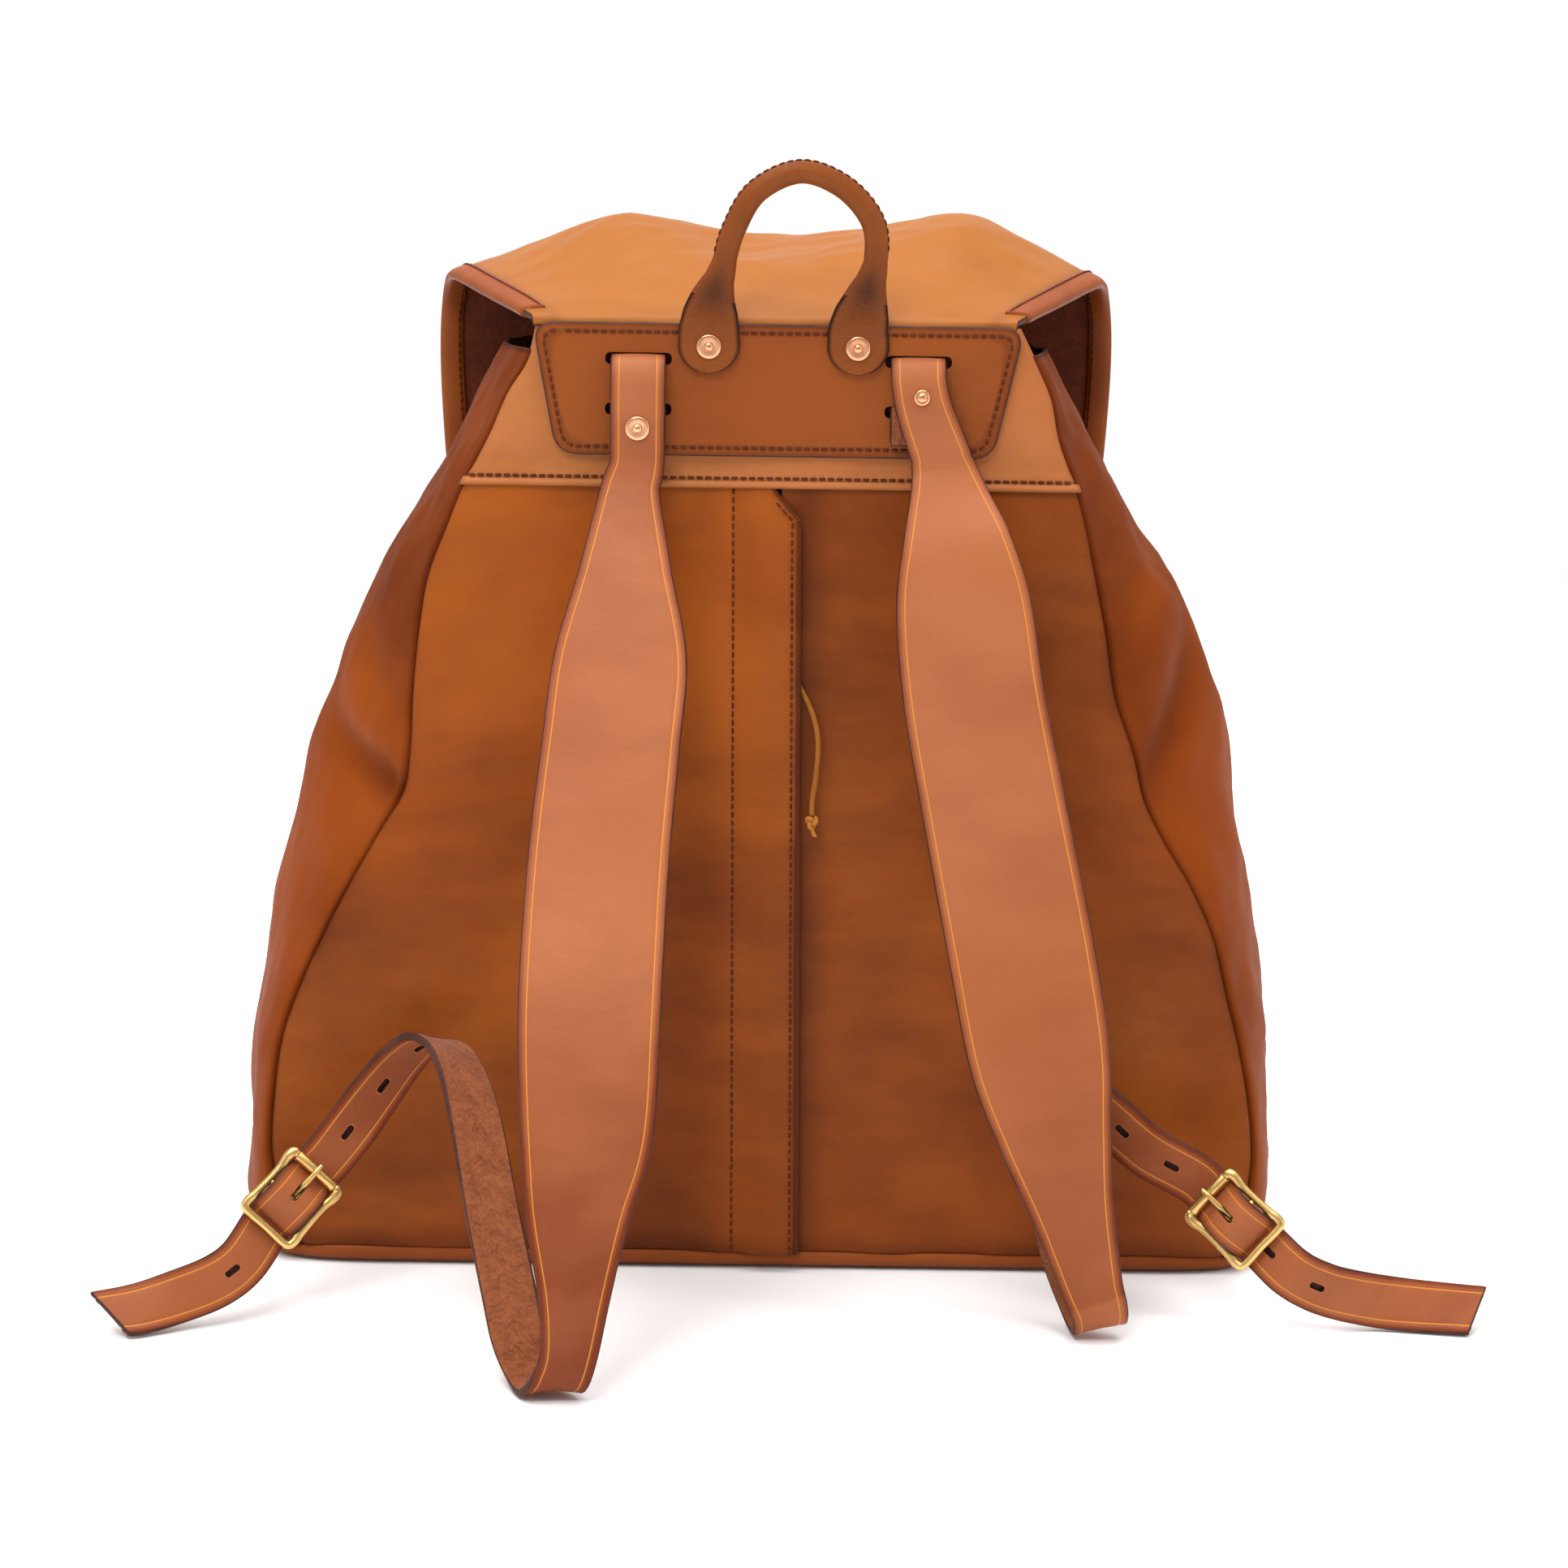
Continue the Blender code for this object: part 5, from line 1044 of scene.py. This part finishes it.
def strap_rivets(looks):
    for word, (x, z, head) in STRAP_RIVET.items():
        rivet("strap_" + word, (x, BACK_Y - 11.1, z), (0, -1, 0), head, 2.0 if word == "left" else 2.2,
              looks["copper"], "bag", (f"strap_{word}_rivet", f"strap_{word}_burr"))
    for word, x in HANDLE_X.items():
        rivet("handle_" + word, (x, BACK_Y - 5.3, HANDLE_RIVET_Z), (0, -1, 0), 5.15, 2.0, looks["copper"],
              "bag", (f"handle_{word}_rivet", f"handle_{word}_burr"))


# ---------------------------------------------------------------- handle
GRIP_ROUTE = [(-27.5, 419), (-26, 429), (-22, 442), (-17.5, 458), (-8, 474), (10, 482.3), (28, 476),
              (40, 462), (41.5, 446), (38, 431), (35, 419)]
GRIP_RADIUS = 4.9


def handle(looks):
    left, right = HANDLE_X["left"], HANDLE_X["right"]
    stations = [(left, -4.3, z) for z in (397.6, 404, 411)] + [(left, -4.9, 417)]
    stations += [(x, -6.2, z) for x, z in GRIP_ROUTE[1:-1]]
    stations += [(right, -4.9, 417)] + [(right, -4.3, z) for z in (411, 404, 397.6)]
    count, sides = 190, 32
    rows = route([(x, BACK_Y + d, z) for x, d, z in stations], count)
    along = unit(np.gradient(rows, axis=0))
    toward = np.array([0, 1.0, 0])
    across = unit(np.cross(along, toward))
    z = rows[:, 2]
    flat = 1 - ease(z, 417, 441)
    end = np.clip((z - 397.6) / 12, 0, 1)
    wide = np.interp(z, [397, 410, 417, 424, 431, 438, 446], [13, 13, 12.6, 11.4, 9.0, 6.4, GRIP_RADIUS])
    wide = wide * np.sqrt(np.clip(1 - (1 - end) ** 2, 0.0004, 1))
    thick = np.interp(z, [397, 416, 426, 434, 444], [1.15, 1.25, 2.6, 4.2, GRIP_RADIUS])
    angles = turns(sides)[None, :]
    power = (1 - 0.55 * flat)[:, None]
    c = np.sign(np.cos(angles)) * np.abs(np.cos(angles)) ** power
    s = np.sign(np.sin(angles)) * np.abs(np.sin(angles)) ** power
    ridge = 1 + (0.17 * np.exp(-((angles - 2 * np.pi + 0.5) / 0.30) ** 2)) * ease(z, 436, 450)[:, None]
    neck = bell(z, 432, 11)[:, None] * np.exp(-((angles - 1.5 * np.pi) / 0.5) ** 2)
    w, t = wide[:, None] * c * ridge, thick[:, None] * s * ridge * (1 - 0.75 * neck)
    shift = 1.1 * flat * ease(z, 417, 425)
    rings = rows[:, None] + across[:, None] * w[..., None] + toward * (t + shift[:, None])[..., None]
    edge = np.where(flat[:, None] > 0.4, wide[:, None] - np.abs(w), 30) + 0 * w
    # tone: painted shade in the pinch of the neck and a darker band round it, and painted light over the top
    # of the arch
    tone = 0.25 * neck + (0.42 + 0.16 * bell(z, 432, 9) - 0.10 * ease(z, 438, 460))[:, None] + 0 * w
    made = ring_loft("carry_handle", rings, looks["handle"], edge=edge, tone=tone)
    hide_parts("handle_tab_left", "handle_tab_right", "handle_grip")
    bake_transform(made)
    keep = z > 447
    out = across * math.cos(-0.5) + toward * math.sin(-0.5)
    path = rows[keep] + out[keep] * GRIP_RADIUS * 1.17
    sew(looks, "handle_stitches", path, out[keep], "handle", 3.6, 2.7, 0.38)


# ---------------------------------------------------------------- buckles and chapes
RIM = [(-15.65, -10.6), (-15.85, -12.3), (-12.45, -13.1), (-7, -12.3), (0, -12.2), (8, -12.6),
       (12.65, -13.1), (15.65, -11.1), (15.65, 0), (15.65, 11.1), (12.65, 13.1), (8, 12.6), (0, 12.2),
       (-7, 12.3), (-12.45, 13.1), (-15.85, 12.3), (-15.65, 10.6)]


def buckle(looks, word):
    centre, along, across, out = buckle_axes(word)

    def at(u, w, n):
        return centre + along * u + across * w + out * n

    loop = route([(u, w, 0) for u, w in RIM + [(-15.65, 0), RIM[0]]], 150)[:-1]
    tangent = unit(np.roll(loop, -1, 0) - np.roll(loop, 1, 0))
    radial = np.stack([-tangent[:, 1], tangent[:, 0]], 1)
    near_bar = bell(loop[:, 0], -15.65, 1.2) * (np.abs(loop[:, 1]) < 10.2)
    size = 1.9 - 0.5 * near_bar + 0.35 * bell(loop[:, 0], -14, 3) * (np.abs(loop[:, 1]) > 10.6)
    rings = []
    for (u, w, _), (ru, rw), r in zip(loop, radial, size):
        rings.append([at(u + ru * r * math.cos(a), w + rw * r * math.cos(a), 0.82 * r * math.sin(a))
                      for a in turns(16)])
    place(ring_loft(f"buckle_{word}_rim", rings, looks["brass"], closed=True), "bag", "brass",
          f"buckle_{word}_frame")
    place(revolved(f"buckle_{word}_middle_bar", at(0, -12.2, 0), across, [(0, 1.4), (24.4, 1.4)],
                   looks["brass"], 24), "bag", "brass")
    place(tube(f"buckle_{word}_roller_shown", at(-15.65, 0, 0), across, 20.4, 1.5, 2.5, looks["brass"]),
          f"buckle_{word}_roller", "brass", f"buckle_{word}_roller")
    arm = route([(-1.0, 2.35, 1.55, 0.8), (-3.5, 2.8, 1.5, 0.95), (-8, 3.35, 1.35, 1.0),
                 (-12, 3.65, 1.2, 0.95),
                 (-15.5, 3.8, 1.05, 0.9), (-18.3, 3.55, 0.85, 0.7), (-19.4, 3.3, 0.35, 0.3)], 40)
    rings = [[at(u, w * math.cos(a), n + t * math.sin(a)) for a in turns(16)] for u, n, w, t in arm]
    place(ring_loft(f"buckle_{word}_prong_shown", rings, looks["brass"]), f"buckle_{word}_prong", "brass",
          f"buckle_{word}_prong")
    place(tube(f"buckle_{word}_prong_eye", at(0, 0, 0), across, 3.0, 1.65, 3.2, looks["brass"], soft=0.4),
          f"buckle_{word}_prong", "brass")


def chape(looks, word):
    centre, along, across, _ = buckle_axes(word)
    anchor = np.array(ANCHORS[word], float) + [0, BACK_Y, 0]
    reach = np.linalg.norm(anchor - centre)
    down = (anchor - centre) / reach
    forward = unit(np.cross(down, across))
    forward = -forward if forward @ along < 0 else forward
    radius = 2.9
    steps = [(d, 1.3) for d in (reach, reach * 0.6, 12.0)] + [(6, 2.0)]
    steps += [(-radius * math.sin(a), radius * math.cos(a)) for a in np.linspace(0, np.pi, 9)]
    steps += [(6, -2.0)] + [(d, -1.3) for d in (12.0, reach * 0.6, reach)]
    stations = [(*(centre + down * d + forward * o), 18.0, *across) for d, o in steps]
    frames = strap_frames(stations, 150)
    made = strap_sheet(f"chape_{word}", frames, 2.0, layers(looks, "chape"), crown=0.3)
    spot = centre + down * (-0.5)
    carve(made, [oblong(f"chape_cut_{word}", spot, np.cross(down, across), across, down, 14, 5.6, 13,
                        looks["edge"])])
    place(made, "bag", "handle_leather", f"buckle_{word}_chape")
    spot = centre + down * (reach * 0.62)
    facing = forward if forward[1] < 0 else -forward
    profile = [(0, 0.1), (0, 3.3), (0.5, 3.4), (1.0, 3.0), (1.5, 1.9), (1.75, 0.2)]
    place(revolved(f"chape_{word}_rivet_shown", spot + facing * 2.35, facing, profile, looks["copper"],
                   36), "bag", "copper", f"chape_{word}_rivet")


# ---------------------------------------------------------------- lid
LID_ROWS, LID_COLUMNS = 120, 101


def lid_grid():
    rows = route([(0, -0.4, 415.6, 415.6, 101), (0, 0.1, 418, 418, 101.5)] + [(0, *r) for r in LID],
                 LID_ROWS)[:, 1:]
    q = (-1 + 2 * dense_ends(LID_COLUMNS, 0.35))[None, :]
    depth, middle, edge, half = (rows[:, [k]] for k in range(4))
    droop = np.abs(q) ** 2.4
    rise = middle - edge
    crown = table(CROWN, q)
    share = ease(depth, 30, 100) * (1 - ease(-middle, -436, -405))
    shape = (1 - droop) * (1 - share) + crown * share
    z = edge + rise * shape + 1.3
    lag = 1.5 * droop * np.minimum(depth / 60, 1)
    x = q * half
    y = BACK_Y + depth - lag + 0 * q
    falls = ease(-z, -436, -405)
    fold = 1.2 * ripple(x, y, 95, 41) * ease(depth, 12, 70) * (1 - falls)
    fold = fold + 0.3 * ripple(x, y, 30, 42) * ease(depth, 8, 40)
    z = z + fold * ease(1 - np.abs(q), 0, 0.3)
    y = y + falls * (2.0 * ripple(x, z, 120, 43) - 1.0) * ease(1 - np.abs(q), 0, 0.2)
    return np.stack([x + 0 * y, y, z], 2)


def lid(looks):
    grid = lid_grid()
    left, right, top, bottom = grid_lengths(grid)
    seam = np.minimum(np.minimum(left, right), bottom)
    # tone: painted shade along the binding's inner edge and along the hinge
    tone = 0.30 * bell(seam, 9, 3.0) + 0.16 * bell(top, 0, 14)
    skin = leather_sheet("lid_skin", grid, 2.4, [looks["lid"], looks["lining"], looks["edge"]], sides="",
                         tone=tone)
    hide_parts("lid")
    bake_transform(skin)
    normal = grid_normals(grid)
    inner_side = unit(np.gradient(grid, axis=1))
    inner_down = unit(np.gradient(grid, axis=0))
    first, last = 7, LID_COLUMNS - 1
    side_rows = np.arange(first, LID_ROWS - 3)
    bottom_columns = np.arange(3, last - 2)
    spots = [(r, 0, inner_side[r, 0]) for r in side_rows]
    spots += [(LID_ROWS - 1, c, -inner_down[LID_ROWS - 1, c]) for c in bottom_columns]
    spots += [(r, last, -inner_side[r, last]) for r in side_rows[::-1]]
    points = np.array([grid[r, c] for r, c, _ in spots])
    normals = np.array([normal[r, c] for r, c, _ in spots])
    inward = np.array([v for _, _, v in spots])
    for _ in range(8):
        for values in (points, inward, normals):
            values[1:-1] = (values[:-2] + 2 * values[1:-1] + values[2:]) / 4
    inward = unit(inward - normals * (inward * normals).sum(1, keepdims=True))
    section = [(9.2, 0.05), (8.7, 1.0), (6.4, 1.35), (3.4, 1.5), (0.8, 1.3), (-1.3, 0.4), (-2.1, -1.2),
               (-1.4, -2.9), (0.8, -3.9), (3.4, -4.1), (6.4, -4.0), (8.7, -3.6), (9.2, -2.6), (5.0, -1.2)]
    rings = points[:, None] + np.stack([inward * i + normals * h for i, h in section], axis=1)
    # tone round the binding's section: painted shade on its underside, round the lower half of its rim and at
    # its inner edges, none on its upper face
    tone = np.tile([0.4, 0.3, 0.0, 0, 0, 0.1, 0.25, 0.3, 0.3, 0.3, 0.3, 0.5, 0.6, 0.6], len(points))
    place(ring_loft("lid_binding_shown", rings, looks["binding"], tone=tone), "lid", "edge_leather",
          "lid_binding")
    sew(looks, "lid_binding_stitches", points + inward * 6.9 + normals * 1.3, normals, "lid")
    sew(looks, "lid_binding_inner_stitches", points + inward * 6.9 - normals * 4.0, -normals, "lid")


# ---------------------------------------------------------------- front closure
def closure(looks):
    lid_face = BACK_Y + 169 + BODY_LEATHER / 2
    stud_z = 262.0
    face = BACK_Y + float(table(DEPTH, stud_z))
    leathers = layers(looks, "strap")
    stations = [(0, lid_face + 3.9, z, 28, -1, 0, 0) for z in (359, 345, 328, 309)]
    tab_stations = [(0, lid_face + 3.9, 308.2, 28, -1, 0, 0), (0, lid_face + 3.4, 295, 28, -1, 0, 0),
                    (0, face + 5.0, 272, 28, -1, 0, 0), (0, face + 4.8, 255, 28, -1, 0, 0),
                    (0, face + 5.2, 240, 27, -1, 0, 0), (0, face + 5.7, 232, 22, -1, 0, 0),
                    (0, face + 6.0, 228, 16, -1, 0, 0)]
    root = strap_sheet("closure_root_shown", strap_frames(stations, 40), 3.0, leathers, np.full(40, 0.2),
                       0.3)
    place(root, "lid", "strap_leather", "closure_strap_root")
    tab = strap_sheet("closure_tab_shown", strap_frames(tab_stations, 70), 3.0, leathers,
                      np.full(70, 0.2), 0.3)
    carve(tab, [oblong("keyhole_cut", (0, face + 4, stud_z - 3.5), (0, 0, 1), (1, 0, 0), (0, 1, 0), 18,
                       8.6, 24, looks["edge"])])
    place(tab, "closure_tab", "strap_leather", "closure_tab")
    stud = [(0, 0.1), (0, 6), (1.2, 6), (1.3, 1.8), (6.2, 1.8), (6.3, 3.3), (7.3, 3.4), (7.5, 1.9),
            (11.6, 1.9), (12.6, 2.6), (13.4, 3.4), (14.6, 3.9), (15.8, 3.7), (17, 2.9), (17.9, 1.6),
            (18.3, 0.1)]
    place(revolved("closure_stud_shown", (0, face - 6, stud_z), (0, 1, 0), stud, looks["brass"], 48),
          "bag", "brass", "closure_stud")
    head = [(-8, 0.1), (-8, 1.3), (0, 1.3), (0, 3.5), (0.4, 3.7), (0.9, 3.2), (1.4, 1.9), (1.6, 0.1)]
    for word, x in (("left", -8), ("right", 8)):
        place(revolved(f"closure_rivet_{word}_shown", (x, lid_face + 5.6, 346), (0, 1, 0), head,
                       looks["copper"], 36), "lid", "copper", f"closure_rivet_{word}")


# ---------------------------------------------------------------- zip and its lace
def zip_parts(looks):
    for word, sign in (("left", -1), ("right", 1)):
        z = np.linspace(14, 344, 140)[:, None]
        x = sign * np.linspace(2.8, 15, 12)[None, :]
        x = x[:, ::-1] if sign < 0 else x
        weave = 0.12 * ripple(x + 0 * z, z + 0 * x, 14, 51 + sign)
        grid = np.stack([x + 0 * z, BACK_Y + 3.0 + weave, z + 0 * x], 2)
        place(leather_sheet(f"zip_tape_{word}_shown", grid, 0.7, [looks["tape"]] * 3, sides=""), "bag",
              "zip_tape", f"zip_tape_{word}")
    verts, faces = [], []
    corners = [(-1, -1, -1), (1, -1, -1), (1, 1, -1), (-1, 1, -1), (-1, -1, 1), (1, -1, 1), (1, 1, 1),
               (-1, 1, 1)]
    sides = [(0, 3, 2, 1), (4, 5, 6, 7), (0, 1, 5, 4), (2, 3, 7, 6), (1, 2, 6, 5), (0, 4, 7, 3)]
    for k, z in enumerate(np.arange(15, 343, 1.5)):
        shift = 0.55 if k % 2 else -0.55
        verts += [(shift + 1.6 * a, BACK_Y + 2.8 + 0.95 * b, z + 0.45 * c) for a, b, c in corners]
        faces += [tuple(8 * k + i for i in side) for side in sides]
    place(make_object("zip_teeth_shown", verts, faces, [looks["brass"]]), "bag", "brass", "zip_teeth")


def lace(looks):
    points = route([(x, BACK_Y + d, z) for x, d, z in LACE_ROUTE], 60)
    curve = bpy.data.curves.new("lace_shown", "CURVE")
    curve.dimensions = "3D"
    curve.bevel_depth = 1.15 * MM
    curve.bevel_resolution = 4
    curve.use_fill_caps = True
    spline = curve.splines.new("POLY")
    spline.points.add(len(points) - 1)
    for target, point in zip(spline.points, points):
        target.co = (*(point * MM), 1)
    curve.materials.append(looks["lace"])
    made = bpy.data.objects.new("lace_shown", curve)
    bpy.context.scene.collection.objects.link(made)
    place(made, "zip_slider", "lace_leather", "zip_lace")
    t = turns(90)
    end = points[-1]
    loop = np.stack([np.sin(t) + 2 * np.sin(2 * t), -np.sin(3 * t), np.cos(t) - 2 * np.cos(2 * t)], 1)
    loop = loop * [0.72, 0.95, 0.9] + end + [0, 0, -3.2]
    tangent = unit(np.roll(loop, -1, 0) - np.roll(loop, 1, 0))
    first = unit(np.cross(tangent, [0.1, 1, 0.2]))
    second = np.cross(tangent, first)
    rings = [[p + (a * math.cos(k) + b * math.sin(k)) * 0.95 for k in turns(10)] for p, a,
             b in zip(loop, first, second)]
    knot = place(ring_loft("lace_knot_shown", rings, looks["lace"], closed=True), "zip_slider",
                 "lace_leather", "zip_lace_knot")
    end_route = route([end + [0, 0, -5], end + [0.6, -0.2, -7.5], end + [1.6, -0.4, -9.6]], 10)
    rings = [[p + np.array([math.cos(k), math.sin(k), 0]) * 0.95 for k in turns(10)] for p in end_route]
    stub = place(ring_loft("lace_end_shown", rings, looks["lace"]), "zip_slider", "lace_leather")


# ---------------------------------------------------------------- studio
def area_light(name, spot, target, size, power):
    light = bpy.data.lights.new(name, "AREA")
    light.shape = "RECTANGLE"
    light.size, light.size_y = size
    light.energy = power
    made = bpy.data.objects.new(name, light)
    made.location = spot
    made.rotation_mode = "QUATERNION"
    made.rotation_quaternion = (Vector(target) - Vector(spot)).to_track_quat("-Z", "Y")
    bpy.context.scene.collection.objects.link(made)


def studio():
    world = bpy.data.worlds.new("studio")
    bpy.context.scene.world = world
    world.use_nodes = True
    tree = world.node_tree
    background = tree.nodes["Background"]
    background.inputs["Color"].default_value = (1, 1, 1, 1)
    # an even grey room with a white wall towards +Y, beyond the end of the floor
    direction = add_node(tree, "ShaderNodeTexCoord").outputs["Generated"]
    parts = add_node(tree, "ShaderNodeSeparateXYZ")
    tree.links.new(direction, parts.inputs[0])
    tree.links.new(band_node(tree, parts.outputs["Y"], 0.90, 0.95, 0.42, 1.0),
                   background.inputs["Strength"])
    bpy.context.scene.view_settings.view_transform = "Standard"
    pale, _, shader = start_material("pale_floor")
    shader.inputs["Base Color"].default_value = (0.95, 0.95, 0.95, 1)
    shader.inputs["Roughness"].default_value = 0.9
    shader.inputs["Specular IOR Level"].default_value = 0.1
    size, far, low = 30, 1.6, -0.0002
    corners = [(-size, -size, low), (size, -size, low), (size, far, low), (-size, far, low)]
    mesh = bpy.data.meshes.new("floor")
    mesh.from_pydata(corners, [], [(0, 1, 2, 3)])
    mesh.materials.append(pale)
    made = bpy.data.objects.new("floor", mesh)
    bpy.context.scene.collection.objects.link(made)
    area_light("key", (-0.6, -1.5, 2.3), (0, 0, 0.2), (1.2, 0.9), 34)
    area_light("left_wall", (-2.0, -0.9, 0.9), (0, 0, 0.25), (0.5, 1.6), 9)
    area_light("right_wall", (2.0, -0.9, 1.1), (0, 0, 0.25), (0.4, 1.5), 12)
    area_light("top", (0, 0.2, 2.4), (0, 0, 0.1), (3.0, 2.2), 95)


def camera():
    data = bpy.data.cameras.new("camera")
    data.lens, data.sensor_width = 96.0, 36.0
    made = bpy.data.objects.new("camera", data)
    bpy.context.scene.collection.objects.link(made)
    turn = Matrix.Rotation(math.radians(76.76), 4, "X") @ Matrix.Rotation(math.radians(0.8), 4, "Z")
    made.matrix_world = Matrix.Translation((0.0065, -1.825, 0.632)) @ turn
    bpy.context.scene.camera = made


# ---------------------------------------------------------------- assembly
def clear():
    for old in list(bpy.data.objects):
        bpy.data.objects.remove(old)


clear()
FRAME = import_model()
LOOKS = make_looks()
back_panel_left(LOOKS)
back_panel_right(LOOKS)
gusset(LOOKS, "left")
gusset(LOOKS, "right")
front_panel(LOOKS)
base(LOOKS)
patch(LOOKS, yoke(LOOKS))
strap_rivets(LOOKS)
handle(LOOKS)
for SIDE_WORD in ("left", "right"):
    shoulder_strap(LOOKS, SIDE_WORD)
    tail(LOOKS, SIDE_WORD)
    buckle(LOOKS, SIDE_WORD)
    chape(LOOKS, SIDE_WORD)
lid(LOOKS)
closure(LOOKS)
zip_parts(LOOKS)
lace(LOOKS)
for NODE, LOOK in (("handle_core", "cord"), ("zip_slider", "brass")):
    FRAME["nodes"][NODE].data.materials.clear()
    FRAME["nodes"][NODE].data.materials.append(LOOKS[LOOK])
studio()
camera()
